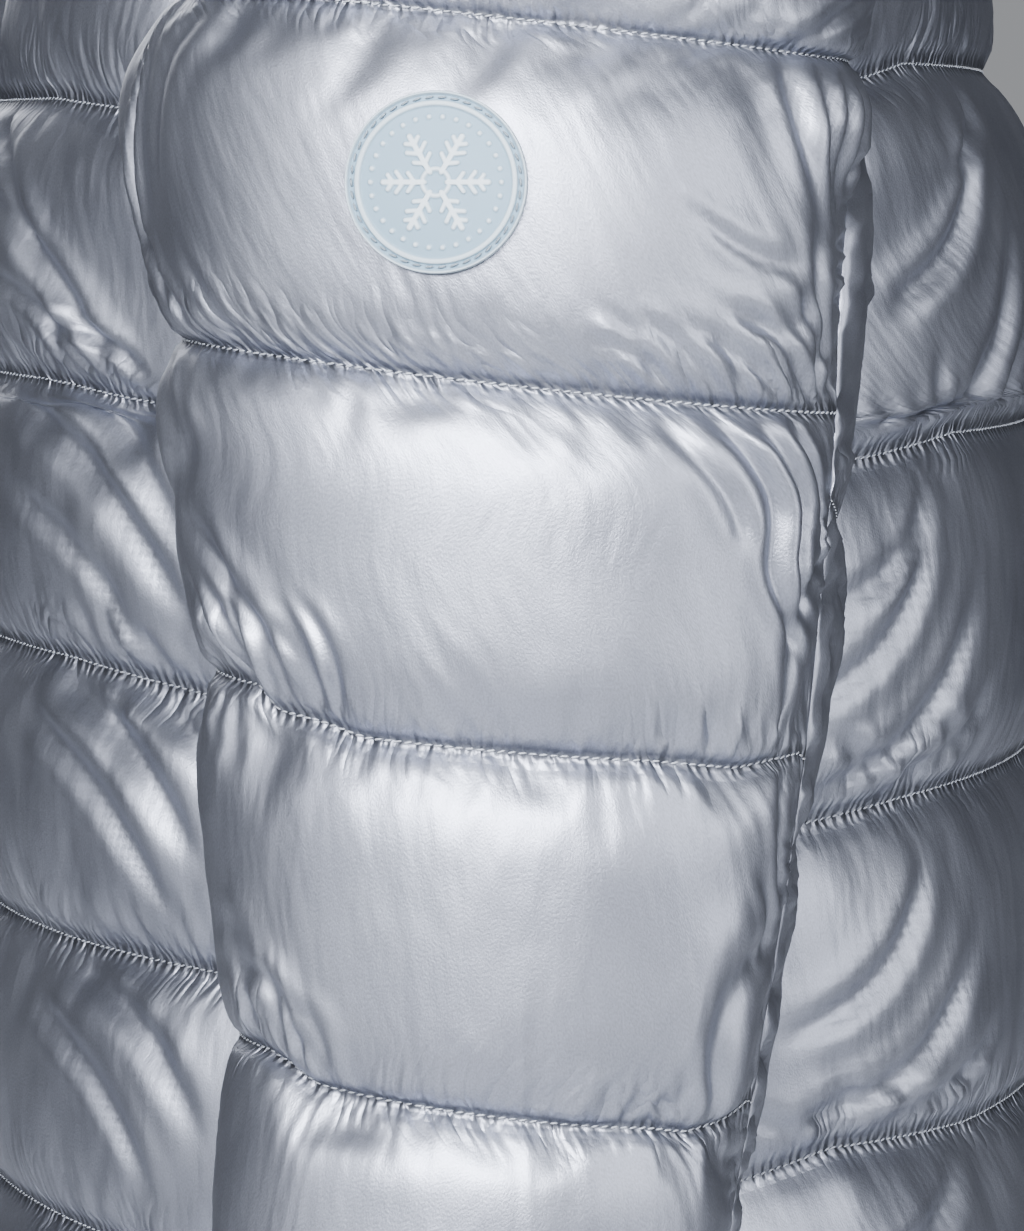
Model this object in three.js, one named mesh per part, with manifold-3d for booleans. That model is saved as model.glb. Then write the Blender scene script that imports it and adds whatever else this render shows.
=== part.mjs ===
// Long quilted puffer coat, zipped up, in the hollow form that it has when it is worn.
// Millimetres. +X is the wearer's left, -Y the front, +Z up, and the origin is the middle of the neck's base.
// Each cut piece is a closed wall: a plain inner face, and an outer face raised between the quilt lines.
import * as THREE from "three";
import { mergeVertices } from "three/addons/utils/BufferGeometryUtils.js";
import Module from "manifold-3d";

const wasm = await Module();
wasm.setup();

// Cloth
const WALL = 3;                 // shell, thin wadding and inner cloth where a quilt line presses them flat
const SEAM_GAP = 0.36;          // clear space between two cut pieces at their seam
const TORSO_PUFF = 9;           // rise of a channel on the fronts and the back
const SLEEVE_PUFF = 10;         // rise of a channel on the outer side of the sleeve
const SIDE_PUFF = 0.4;          // share of that rise at the two seams of the top sleeve
const UNDER_PUFF = 5.5;         // rise on the under sleeve, half of it where the sleeve faces the body
const COLLAR_PUFF = 6;
const EDGE_SLOPE = 30;          // width over which a channel rises from a seam
const ARM_PRESS = 0.55;         // share of the torso's rise that the arm presses flat beside the side seam
const ARM_PRESS_WIDTH = 70;     // distance from the side seam that the arm presses on
const LINE_DIP = 12;            // a quilt line is this much lower at the side seam than at the middle

// Lengths
const HEM_Z = -1068;
const UNDERARM_Z = -255;
const ARMHOLE_TOP = { x: 190, z: -50 };
const ARMHOLE_HALF = { y: 75, z: 102 };
const NECK_SIDE_Z = -5;
const NECK = { halfWidth: 70, front: 75, back: 62, frontDrop: 40, backRise: 3 };
const COLLAR_TOP = { halfWidth: 64, front: 68, back: 58, frontZ: 38, backZ: 76 };

// Quilt lines: the distance between lines, and one line to count from
const FRONT_LINES = { first: -98, pitch: 74, count: 13 };
const BACK_LINES = { first: -78, pitch: 91, count: 11 };

// Zip
const ZIP = {
  opening: 7.5, tapeEdge: 7.14, tapeThick: 1, toothWidth: 2.6, toothRise: 0.8, toothBack: 1.8, halfGap: 0.18,
  topStop: 3,
};
const SLIDER = {
  width: 8, length: 13, plate: 1.4, clear: 0.35,
  bridgeWidth: 1.8, bridgeThick: 1.4, bridgeFoot: 1.2, axisOut: 1.6,
};
const PULL = { width: 7, length: 27, thick: 1.4, bar: 1.4, eye: 4.6, side: 1.6 };

// Badge on the left sleeve
const BADGE = { radius: 20, y: -17.7, z: -190, sectors: 28, gap: 0.8 };
const BADGE_RINGS = [
  { radius: 9, height: 1.2 },       // field
  { radius: 16.4, height: 1.2 },
  { radius: 17, height: 2 },        // inner rim
  { radius: 18.1, height: 1.4 },    // groove of the stitches
  { radius: 19.2, height: 2.3 },    // outer rim
  { radius: 20, height: 1.9 },
];

const PANEL_COLOUR = 0xb4bac4;
const SHOULDER_NORMAL = { x: 0.35, z: 0.94 };
const panelMaterial = { color: PANEL_COLOUR, roughness: 0.4, metalness: 0.25 };
const tapeMaterial = { color: 0x9aa1ac, roughness: 0.8, metalness: 0 };
const metalMaterial = { color: 0xb9bec6, roughness: 0.3, metalness: 1 };
const rubberMaterial = { color: 0xc8d4dd, roughness: 0.6, metalness: 0 };

// The body of the coat at the quilt lines, level by level
const TORSO = [
  { z: -50, halfWidth: 217, front: 88, back: 86 },
  { z: -98, halfWidth: 212, front: 118, back: 108 },
  { z: -154, halfWidth: 207, front: 146, back: 130 },
  { z: -200, halfWidth: 203, front: 156, back: 140 },
  { z: -255, halfWidth: 200, front: 159, back: 146 },
  { z: -320, halfWidth: 198, front: 157, back: 147 },
  { z: -400, halfWidth: 198, front: 154, back: 149 },
  { z: -480, halfWidth: 203, front: 155, back: 155 },
  { z: -560, halfWidth: 211, front: 160, back: 164 },
  { z: -640, halfWidth: 219, front: 165, back: 172 },
  { z: -800, halfWidth: 232, front: 174, back: 184 },
  { z: -950, halfWidth: 245, front: 184, back: 194 },
  { z: HEM_Z, halfWidth: 254, front: 192, back: 201 },
];

// Distance of the armhole seam from the middle of the body
const ARMHOLE_X = [
  { z: -50, x: 190 },
  { z: -98, x: 184 },
  { z: -154, x: 178 },
  { z: -186, x: 180 },
  { z: -219, x: 187 },
  { z: -246, x: 196 },
  { z: UNDERARM_Z, x: 200 },
];

// Points round the armhole below its top, where a row of the front, the back and the sleeve meet.
// "sleeve" is the height of that row on the outer side of the sleeve.
const ARMHOLE_ROWS = [
  { front: -52, back: -52, sleeve: -50.5 },
  { front: -59, back: -60, sleeve: -58 },
  { front: -74, back: -78, sleeve: -73 },
  { front: -86, back: -88, sleeve: -85 },
  { front: -98, back: -100, sleeve: -98 },
  { front: -117, back: -117, sleeve: -118 },
  { front: -136, back: -135, sleeve: -136 },
  { front: -154, back: -152, sleeve: -154 },
  { front: -172, back: -169, sleeve: -170 },
  { front: -191, back: -190, sleeve: -190 },
  { front: -212, back: -212, sleeve: -212 },
  { front: -232, back: -234, sleeve: -235 },
  { front: -246, back: -246, sleeve: -246 },
  { front: UNDERARM_Z, back: UNDERARM_Z, sleeve: UNDERARM_Z },
];

// The sleeve, level by level: outer and inner side, half depth, and how far behind the middle it lies
const SLEEVE = [
  { z: -50, outer: 191, inner: 190, halfDepth: 14, middleY: 0 },
  { z: -55, outer: 228, inner: 190, halfDepth: 33, middleY: 0 },
  { z: -63, outer: 252, inner: 189, halfDepth: 45, middleY: 0 },
  { z: -73, outer: 272, inner: 187, halfDepth: 54, middleY: 0 },
  { z: -85, outer: 288, inner: 186, halfDepth: 61, middleY: 0 },
  { z: -98, outer: 300, inner: 184, halfDepth: 67, middleY: 0 },
  { z: -124, outer: 316, inner: 180, halfDepth: 74, middleY: 0 },
  { z: -154, outer: 326, inner: 178, halfDepth: 77, middleY: 0 },
  { z: -186, outer: 331, inner: 180, halfDepth: 78, middleY: 0 },
  { z: -235, outer: 332, inner: 192, halfDepth: 77.5, middleY: 0 },
  { z: -255, outer: 332, inner: 200, halfDepth: 76, middleY: 0 },
  { z: -275, outer: 332, inner: 211, halfDepth: 74, middleY: 0 },
  { z: -316, outer: 332, inner: 220, halfDepth: 69.5, middleY: 0 },
  { z: -397, outer: 331, inner: 224, halfDepth: 61, middleY: -4 },
  { z: -478, outer: 332, inner: 228, halfDepth: 56, middleY: -14 },
  { z: -559, outer: 335, inner: 235, halfDepth: 52, middleY: -28 },
  { z: -628, outer: 338, inner: 244, halfDepth: 48, middleY: -42 },
];
const SLEEVE_LINES = [-73, -154, -235, -316, -397, -478, -559];
const UNDER_LINES = SLEEVE_LINES.map((z) => z - 20);
const CUFF_Z = -628;
const ROWS_PER_CHANNEL = 4;
const RING_SLOPE = 0.11;        // the sleeve's quilt lines fall towards the back of the arm
const ARM_X = 255;              // middle line of the arm, below ARM_TOP_Z
const ARM_TOP_Z = -120;

// Where the sleeve's two long seams run: the row, and the share of the way from the armhole to the outer side
const UNDER_FIRST_ROW = 6;
const SLEEVE_SEAMS = [
  { row: 6, front: 0, back: 0 },
  { row: 7, front: 0.06, back: 0.2 },
  { row: 8, front: 0.12, back: 0.38 },
  { row: 9, front: 0.17, back: 0.5 },
  { row: 10, front: 0.22, back: 0.535 },
  { row: 11, front: 0.27, back: 0.54 },
  { row: 13, front: 0.33, back: 0.54 },
  { row: 17, front: 0.36, back: 0.53 },
  { row: 40, front: 0.36, back: 0.5 },
];
const SIDE_SHARE = 0.42;        // share of a half slice that lies on the side facing the body

const FRONT_COLUMNS = [0, 0.06, 0.16, 0.28, 0.4, 0.52, 0.64, 0.76, 0.86, 0.95, 1];
const FRONT_NECK_COLUMN = 4;
const BACK_COLUMNS = [0, 0.13, 0.26, 0.39, 0.53, 0.68, 0.83, 0.94, 1];
const BACK_NECK_COLUMN = 3;
const SLEEVE_COLUMNS = [0, 0.04, 0.12, 0.22, 0.31, 0.41, 0.5, 0.59, 0.69, 0.78, 0.88, 0.96, 1];
const COLLAR_ROWS = [0, 0.1, 0.25, 0.4, 0.5, 0.6, 0.75, 0.9, 1];
const COLLAR_COLUMN_WIDTH = 18;

const vec = (x, y, z) => new THREE.Vector3(x, y, z);
const mix = (a, b, t) => a + (b - a) * t;
const clamp01 = (t) => Math.min(1, Math.max(0, t));
const smooth = (t) => t * t * (3 - 2 * t);
const mirrored = (p) => vec(-p.x, p.y, p.z);

// Smooth value of one column of a table whose rows are sorted along "by"
function valueAt(table, by, at, column) {
  const rising = table[table.length - 1][by] > table[0][by];
  const past = (row) => (rising ? row[by] >= at : row[by] <= at);
  const found = table.findIndex(past);
  if (found <= 0) return table[found === 0 ? 0 : table.length - 1][column];
  const slope = (k) => {
    const low = table[Math.max(k - 1, 0)];
    const high = table[Math.min(k + 1, table.length - 1)];
    return (high[column] - low[column]) / (high[by] - low[by]);
  };
  const a = table[found - 1];
  const b = table[found];
  const span = b[by] - a[by];
  const t = (at - a[by]) / span;
  const tail = t * t * (3 - 2 * t);
  const startPull = t * (1 - t) * (1 - t) * span * slope(found - 1);
  const endPull = t * t * (t - 1) * span * slope(found);
  return mix(a[column], b[column], tail) + startPull + endPull;
}

// Rise of a channel across its height: flat on the lines, steep beside them and round in the middle
function channelRise(share) {
  const fromMiddle = Math.abs(2 * share - 1);
  return Math.sqrt(Math.max(0, 1 - fromMiddle ** 2.3));
}

function edgeRise(distance) {
  const left = 1 - Math.min(distance / EDGE_SLOPE, 1);
  return Math.sqrt(1 - left * left);
}

function riseBetween(lines, z) {
  for (let k = 0; k + 1 < lines.length; k++) {
    if (z <= lines[k] && z >= lines[k + 1]) {
      return channelRise((lines[k] - z) / (lines[k] - lines[k + 1]));
    }
  }
  return 0;
}

// Normals of a grid of points, [row][column], pointing away from "inside"
function gridNormals(grid, inside) {
  return grid.map((row, r) => row.map((point, c) => {
    const up = grid[Math.min(r + 1, grid.length - 1)][c].clone().sub(grid[Math.max(r - 1, 0)][c]);
    const along = row[Math.min(c + 1, row.length - 1)].clone().sub(row[Math.max(c - 1, 0)]);
    const normal = along.cross(up).normalize();
    return normal.dot(point.clone().sub(inside(point))) < 0 ? normal.negate() : normal;
  }));
}

// Closed mesh of a wall. The outer grid uses every row, the inner one only the rows in "kept"
function wallMesh(name, outer, inner, kept, material) {
  const columns = outer[0].length;
  const points = [];
  const outerId = (r, c) => r * columns + c;
  outer.forEach((row) => row.forEach((p) => points.push(p.x, p.y, p.z)));
  const innerStart = outer.length * columns;
  const innerId = (r, c) => innerStart + kept.indexOf(r) * columns + c;
  kept.forEach((r) => inner[r].forEach((p) => points.push(p.x, p.y, p.z)));
  const faces = [];
  const quad = (a, b, c, d) => faces.push(a, b, c, a, c, d);
  for (let r = 0; r + 1 < outer.length; r++) {
    for (let c = 0; c + 1 < columns; c++) {
      quad(outerId(r, c), outerId(r, c + 1), outerId(r + 1, c + 1), outerId(r + 1, c));
    }
  }
  for (let k = 0; k + 1 < kept.length; k++) {
    const low = kept[k];
    const high = kept[k + 1];
    for (let c = 0; c + 1 < columns; c++) {
      quad(innerId(low, c), innerId(high, c), innerId(high, c + 1), innerId(low, c + 1));
    }
    const middle = Math.floor((low + high) / 2);
    for (const [c, flip] of [[0, false], [columns - 1, true]]) {
      const add = (a, b, d) => (flip ? faces.push(b, a, d) : faces.push(a, b, d));
      for (let r = low; r < high; r++) {
        add(outerId(r, c), outerId(r + 1, c), innerId(r < middle ? low : high, c));
      }
      add(innerId(high, c), innerId(low, c), outerId(middle, c));
    }
  }
  const last = outer.length - 1;
  for (let c = 0; c + 1 < columns; c++) {
    quad(outerId(0, c + 1), outerId(0, c), innerId(0, c), innerId(0, c + 1));
    quad(outerId(last, c), outerId(last, c + 1), innerId(last, c + 1), innerId(last, c));
  }
  return solidMesh(name, points, faces, material);
}

// Mesh whose faces point out, whichever way they were listed
function solidMesh(name, points, faces, material) {
  const corner = (id) => vec(points[3 * id], points[3 * id + 1], points[3 * id + 2]);
  let volume = 0;
  for (let k = 0; k < faces.length; k += 3) {
    volume += corner(faces[k]).dot(corner(faces[k + 1]).cross(corner(faces[k + 2])));
  }
  const order = [...faces];
  if (volume < 0) {
    for (let k = 0; k < order.length; k += 3) [order[k], order[k + 1]] = [order[k + 1], order[k]];
  }
  const geometry = new THREE.BufferGeometry();
  geometry.setAttribute("position", new THREE.Float32BufferAttribute(points, 3));
  geometry.setIndex(order);
  const mesh = new THREE.Mesh(geometry, new THREE.MeshStandardMaterial(material));
  mesh.name = name;
  return mesh;
}

// A seam shared by two pieces: points, their normals, and the directions from the first piece to the second
function sharedSeam(points, normals, second) {
  return points.map((point, k) => {
    const before = points[Math.max(k - 1, 0)];
    const after = points[Math.min(k + 1, points.length - 1)];
    const across = normals[k].clone().cross(after.clone().sub(before)).normalize();
    if (across.dot(second(point)) < 0) across.negate();
    return { point, normal: normals[k], across };
  });
}
const firstSide = (node) => node.point.clone().addScaledVector(node.across, -SEAM_GAP / 2);
const secondSide = (node) => node.point.clone().addScaledVector(node.across, SEAM_GAP / 2);

// The armhole seam of the left side: the top point, then down the front or the back to the underarm
const ARMHOLE_MIDDLE = vec(ARMHOLE_TOP.x, 0, (ARMHOLE_TOP.z + UNDERARM_Z) / 2);
const ARMHOLE_TOP_ROW = -98;

function armholePoint(face, z) {
  const sign = face === "front" ? -1 : 1;
  const x = valueAt(ARMHOLE_X, "z", z, "x");
  const level = Math.min(z, ARMHOLE_TOP_ROW);
  const share = valueAt(ARMHOLE_X, "z", level, "x") / valueAt(TORSO, "z", level, "halfWidth");
  const depth = valueAt(TORSO, "z", level, face) * Math.sqrt(Math.max(0, 1 - share * share));
  const overTop = clamp01((z - ARMHOLE_TOP_ROW) / (ARMHOLE_TOP.z - ARMHOLE_TOP_ROW));
  return vec(x, sign * depth * Math.sqrt(1 - overTop * overTop), z);
}

function armholeNormal(face, point) {
  const torso = valueAt(TORSO, "z", point.z, "halfWidth");
  const depth = valueAt(TORSO, "z", point.z, face);
  const lift = smooth(clamp01((point.z - ARMHOLE_TOP_ROW) / (ARMHOLE_TOP.z - ARMHOLE_TOP_ROW)));
  const body = vec(point.x / torso ** 2, point.y / depth ** 2, 0).normalize();
  body.lerp(vec(SHOULDER_NORMAL.x, 0, SHOULDER_NORMAL.z), lift).normalize();
  const away = point.clone().sub(ARMHOLE_MIDDLE);
  const arm = vec(0, away.y / ARMHOLE_HALF.y ** 2, away.z / ARMHOLE_HALF.z ** 2).normalize();
  return body.add(arm).normalize();
}

function armholeSeam(face) {
  const top = vec(ARMHOLE_TOP.x, 0, ARMHOLE_TOP.z);
  const points = [top, ...ARMHOLE_ROWS.map((row) => armholePoint(face, row[face]))];
  const normals = points.map((point) => armholeNormal(face, point));
  const seam = sharedSeam(points, normals, () => vec(1, 0, 0.2));
  for (const node of [seam[0], seam[seam.length - 1]]) {
    node.normal.y = 0;
    node.normal.normalize();
    node.across = vec(0, 1, 0).cross(node.normal).normalize();
    if (node.across.x < 0) node.across.negate();
  }
  return seam;
}
const ARMHOLE = { front: armholeSeam("front"), back: armholeSeam("back") };

// The neck seam of the left half, from the zip (or the middle of the back) to the shoulder
function neckPoint(turn) {
  const towardsFront = Math.cos(turn);
  const depth = towardsFront > 0 ? NECK.front : NECK.back;
  const drop = towardsFront > 0 ? -NECK.frontDrop * towardsFront ** 1.3 : -NECK.backRise * towardsFront;
  return vec(NECK.halfWidth * Math.sin(turn), -depth * towardsFront, NECK_SIDE_Z + drop);
}
const NECK_START = Math.asin(ZIP.opening / NECK.halfWidth);
const neckTurns = { front: [], back: [] };
for (let k = 0; k <= FRONT_NECK_COLUMN; k++) {
  neckTurns.front.push(mix(NECK_START, Math.PI / 2, k / FRONT_NECK_COLUMN));
}
for (let k = 0; k <= BACK_NECK_COLUMN; k++) {
  neckTurns.back.push(mix(Math.PI, Math.PI / 2, k / BACK_NECK_COLUMN));
}
const leftTurns = [...neckTurns.front, ...[...neckTurns.back].reverse().slice(1)];

const NECK_SEAM = sharedSeam(
  leftTurns.map(neckPoint),
  leftTurns.map((turn) => {
    const out = vec(Math.sin(turn), -Math.cos(turn), 0);
    return out.multiplyScalar(0.8).add(vec(0, 0, 0.6)).normalize();
  }),
  () => vec(0, 0, 1),
);
for (const [place, flat] of [[0, "x"], [NECK_SEAM.length - 1, "x"], [FRONT_NECK_COLUMN, "y"]]) {
  NECK_SEAM[place].normal[flat] = 0;
  NECK_SEAM[place].normal.normalize();
  NECK_SEAM[place].across[flat] = 0;
  NECK_SEAM[place].across.normalize();
}
const neckNode = (face, k) => (face === "front" ? NECK_SEAM[k] : NECK_SEAM[NECK_SEAM.length - 1 - k]);

// Rows of a front or of half the back, from the hem up, with the base point of each column
function torsoRows(face, lines, columns, neckColumn) {
  const sign = face === "front" ? -1 : 1;
  const start = face === "front" ? ZIP.opening : 0;
  const seam = ARMHOLE[face];
  const levels = [];
  const stops = [...lines, HEM_Z];
  stops.slice(1).forEach((low, k) => {
    for (let part = 0; part < ROWS_PER_CHANNEL; part++) {
      const z = mix(stops[k], low, part / ROWS_PER_CHANNEL);
      if (z < UNDERARM_Z) levels.push({ z, node: null, line: part === 0 });
    }
  });
  levels.push({ z: HEM_Z, node: null, line: true });
  ARMHOLE_ROWS.forEach((row, k) => {
    if (row[face] <= lines[0]) levels.push({ z: row[face], node: seam[k + 1], line: true });
  });
  levels.sort((a, b) => a.z - b.z);
  const basePoint = (level, u) => {
    const width = valueAt(TORSO, "z", level.z, "halfWidth");
    const depth = valueAt(TORSO, "z", level.z, face);
    const from = Math.asin(start / width);
    const to = level.node ? Math.asin(Math.min(1, level.node.point.x / width)) : Math.PI / 2;
    const turn = mix(from, to, u);
    const dip = LINE_DIP * u * u * smooth(clamp01((UNDERARM_Z - level.z) / 65)) * (level.z > HEM_Z ? 1 : 0);
    const point = vec(width * Math.sin(turn), sign * depth * Math.cos(turn), level.z - dip);
    if (level.node) {
      const end = vec(width * Math.sin(to), sign * depth * Math.cos(to), level.z);
      point.addScaledVector(level.node.point.clone().sub(end), u ** 3);
    }
    return point;
  };
  const rows = levels.map((level) => ({
    z: level.z,
    inner: level.line,
    node: level.node,
    points: columns.map((u) => basePoint(level, u)),
    rise: riseBetween(stops, level.z),
  }));
  const bottom = rows[rows.length - 1];
  const over = ARMHOLE_ROWS.filter((row) => row[face] > lines[0]).length + 1;
  const shoulder = vec(ARMHOLE_TOP.x, 0, ARMHOLE_TOP.z);
  const neckCorner = neckNode(face, neckColumn).point;
  for (let k = 1; k <= over; k++) {
    const share = k / over;
    const node = seam[over - k];
    rows.push({
      z: mix(bottom.z, ARMHOLE_TOP.z, share),
      inner: true,
      node,
      points: columns.map((u, c) => {
        const from = bottom.points[c];
        const onSeam = (u - columns[neckColumn]) / (1 - columns[neckColumn]);
        const to = c <= neckColumn ? neckNode(face, c).point : neckCorner.clone().lerp(shoulder, onSeam);
        const bend = vec(mix(from.x, to.x, 0.5), mix(from.y, to.y, 0.22), mix(from.z, to.z, 0.72));
        const a = from.clone().lerp(bend, share);
        const point = a.lerp(bend.clone().lerp(to, share), share);
        if (c === columns.length - 1) return node.point.clone();
        return point;
      }),
      rise: channelRise(share),
    });
  }
  return rows;
}

// Outer and inner grids of a front or of half the back
function torsoGrids(face, rows, columns, neckColumn) {
  const sign = face === "front" ? -1 : 1;
  const base = rows.map((row) => row.points);
  const normals = gridNormals(base, (p) => vec(0, 0, p.z - 40));
  const last = columns.length - 1;
  const top = rows.length - 1;
  const outer = [];
  const inner = [];
  rows.forEach((row, r) => {
    const length = row.points.slice(1).reduce((sum, p, c) => sum + p.distanceTo(row.points[c]), 0);
    outer.push([]);
    inner.push([]);
    row.points.forEach((point, c) => {
      let place = point.clone();
      let normal = normals[r][c];
      if (c === 0) normal.setX(0).normalize();
      if (r === top && c <= neckColumn) {
        const node = neckNode(face, c);
        normal = node.normal;
        place = firstSide(node);
      } else if (r === top) {
        normal = vec(SHOULDER_NORMAL.x, 0, SHOULDER_NORMAL.z).normalize();
      }
      if (c === last && row.node) {
        normal = row.node.normal;
        place = firstSide(row.node);
      } else if (c === last) {
        normal.setY(0).normalize();
      }
      if (r === top && c >= neckColumn) place.y = sign * SEAM_GAP / 2;
      if (c === last && (!row.node || row.z <= UNDERARM_Z)) place.y = sign * SEAM_GAP / 2;
      const toSide = (1 - columns[c]) * length;
      const toMiddle = face === "front" ? columns[c] * length : EDGE_SLOPE;
      const besideArm = row.z < UNDERARM_Z + 60 && row.z > CUFF_Z - 20;
      const byArm = besideArm ? 1 - ARM_PRESS * smooth(clamp01(1.6 - toSide / ARM_PRESS_WIDTH)) : 1;
      const rise = r === top ? 0 : TORSO_PUFF * row.rise * edgeRise(toSide) * edgeRise(toMiddle) * byArm;
      outer[r].push(place.clone().addScaledVector(normal, rise));
      inner[r].push(place.clone().addScaledVector(normal, -WALL));
    });
  });
  return { outer, inner, kept: rows.map((row, r) => (row.inner ? r : -1)).filter((r) => r >= 0) };
}

function linesDown({ first, pitch, count }) {
  return Array.from({ length: count }, (_, k) => first - k * pitch).filter((z) => z > HEM_Z + 40);
}
const frontRows = torsoRows("front", linesDown(FRONT_LINES), FRONT_COLUMNS, FRONT_NECK_COLUMN);
const backRows = torsoRows("back", linesDown(BACK_LINES), BACK_COLUMNS, BACK_NECK_COLUMN);

function frontPanel(name, side) {
  const grids = torsoGrids("front", frontRows, FRONT_COLUMNS, FRONT_NECK_COLUMN);
  const place = (grid) => (side > 0 ? grid : grid.map((row) => row.map(mirrored)));
  return wallMesh(name, place(grids.outer), place(grids.inner), grids.kept, panelMaterial);
}

function backPanel(name) {
  const grids = torsoGrids("back", backRows, BACK_COLUMNS, BACK_NECK_COLUMN);
  const whole = (grid) => grid.map((row) => [...[...row].reverse().map(mirrored), ...row.slice(1)]);
  return wallMesh(name, whole(grids.outer), whole(grids.inner), grids.kept, panelMaterial);
}

// Stand collar, from the zip on the left round the back to the zip on the right, with one quilt line
function collarTopPoint(turn) {
  const towardsFront = Math.cos(turn);
  const depth = towardsFront > 0 ? COLLAR_TOP.front : COLLAR_TOP.back;
  const z = mix(COLLAR_TOP.backZ, COLLAR_TOP.frontZ, (1 + towardsFront) / 2);
  return vec(COLLAR_TOP.halfWidth * Math.sin(turn), -depth * towardsFront, z);
}

const collarHalf = COLLAR_ROWS.map((share) => leftTurns.map((turn, k) => {
  const low = secondSide(NECK_SEAM[k]);
  const high = collarTopPoint(turn);
  if (k === 0) high.x = ZIP.opening;
  const point = low.lerp(high, share);
  if (k === 0) point.x = ZIP.opening;
  return point;
}));

function collar(name) {
  const base = collarHalf.map((row) => [...row, ...[...row].reverse().slice(1).map(mirrored)]);
  const normals = gridNormals(base, (p) => vec(0, 0, p.z));
  const seamNormals = [...NECK_SEAM, ...[...NECK_SEAM].reverse().slice(1)].map((node, k) => (
    k < NECK_SEAM.length ? node.normal : mirrored(node.normal)));
  const last = base[0].length - 1;
  const moved = (lift) => base.map((row, r) => row.map((point, c) => {
    const normal = r === 0 ? seamNormals[c].clone() : normals[r][c].clone();
    if (c === 0 || c === last) normal.setX(0).normalize();
    const middle = COLLAR_ROWS[r] <= 0.5 ? COLLAR_ROWS[r] * 2 : COLLAR_ROWS[r] * 2 - 1;
    const toZip = Math.min(c, last - c) * COLLAR_COLUMN_WIDTH;
    const puff = COLLAR_PUFF * channelRise(middle) * edgeRise(toZip);
    return point.clone().addScaledVector(normal, lift === "out" ? puff : -WALL);
  }));
  return wallMesh(name, moved("out"), moved("in"), [0, 4, 8], panelMaterial);
}

// Rows of the sleeve from its top to the cuff. A row is a slice round the arm, and above the underarm
// it is open towards the body and ends on the armhole seam.
const sleeveLevels = [];
ARMHOLE_ROWS.forEach((row, k) => sleeveLevels.push({ z: row.sleeve, node: k + 1 }));
const tubeStops = [...SLEEVE_LINES.filter((z) => z < UNDERARM_Z), CUFF_Z];
for (const z of [-275, -295]) sleeveLevels.push({ z, node: null });
tubeStops.forEach((low, k) => {
  sleeveLevels.push({ z: low, node: null });
  const next = tubeStops[k + 1];
  if (next === undefined) return;
  for (let part = 1; part < ROWS_PER_CHANNEL; part++) {
    sleeveLevels.push({ z: mix(low, next, part / ROWS_PER_CHANNEL), node: null });
  }
});
const FIRST_FULL_RING = 15;
const keptSleeveRow = (row) => row <= UNDER_FIRST_ROW || row % 2 === 0 || row === sleeveLevels.length - 1;

// Point of a slice: side -1 front or 1 back, share 0 beside the body to 1 on the outer side of the arm
function slicePoint(row, side, share) {
  const level = sleeveLevels[row];
  const at = (column) => valueAt(SLEEVE, "z", level.z, column);
  const outerX = at("outer");
  const node = level.node ? ARMHOLE[side < 0 ? "front" : "back"][level.node] : null;
  const end = node ? secondSide(node) : vec(at("inner"), at("middleY"), level.z);
  const middleX = mix(end.x, outerX, level.node ? 0.55 : 0.5);
  const middleY = at("middleY");
  const depth = at("halfDepth");
  let x;
  let y;
  if (share < SIDE_SHARE) {
    const back = 1 - share / SIDE_SHARE;
    const roundness = level.node ? 1.35 : mix(1.35, 2, smooth(clamp01((UNDERARM_Z - level.z) / 60)));
    const endY = Math.abs(end.y - middleY);
    x = mix(middleX, end.x, level.node ? back : Math.sin(back * Math.PI / 2));
    const ringBow = Math.cos(back * Math.PI / 2) ** (2 / roundness);
    const bow = level.node ? (1 - back ** 2) ** (1 / roundness) : ringBow;
    y = middleY + side * mix(endY, depth, bow);
  } else {
    const turn = (share - SIDE_SHARE) / (1 - SIDE_SHARE) * Math.PI / 2;
    x = middleX + (outerX - middleX) * Math.sin(turn);
    y = middleY + side * depth * Math.cos(turn);
  }
  const slope = RING_SLOPE * smooth(clamp01((ARMHOLE_TOP.z - level.z) / 100));
  const plane = level.z - slope * (y - middleY);
  const z = mix(end.z, plane, level.node ? smooth(clamp01(share / 0.35)) : 1);
  return { point: vec(x, y, z), middle: vec(middleX, middleY, level.z), radii: [outerX - middleX, depth] };
}

function sliceNormal(slice) {
  const { point, middle, radii } = slice;
  return vec((point.x - middle.x) / radii[0] ** 2, (point.y - middle.y) / radii[1] ** 2, 0).normalize();
}

// The long seams between the top sleeve and the under sleeve
function longSeam(side) {
  const column = side < 0 ? "front" : "back";
  const shareAt = (row) => valueAt(SLEEVE_SEAMS, "row", row, column);
  const slices = sleeveLevels.map((_, row) => slicePoint(row, side, shareAt(row)));
  return sharedSeam(slices.map((s) => s.point), slices.map(sliceNormal), () => vec(1, 0, 0));
}
const LONG_SEAM = { "-1": longSeam(-1), 1: longSeam(1) };

// Direction round the arm at a seam node, from the under sleeve to the top sleeve
function towardsTop(node, side, row) {
  const share = valueAt(SLEEVE_SEAMS, "row", row, side < 0 ? "front" : "back");
  const ahead = slicePoint(row, side, Math.min(1, share + 0.05)).point;
  const way = node.across.clone();
  return way.dot(ahead.sub(node.point)) < 0 ? way.negate() : way;
}

function sleeveRise(z, lines) {
  return riseBetween([ARMHOLE_TOP.z, ...lines, CUFF_Z], z);
}

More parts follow.
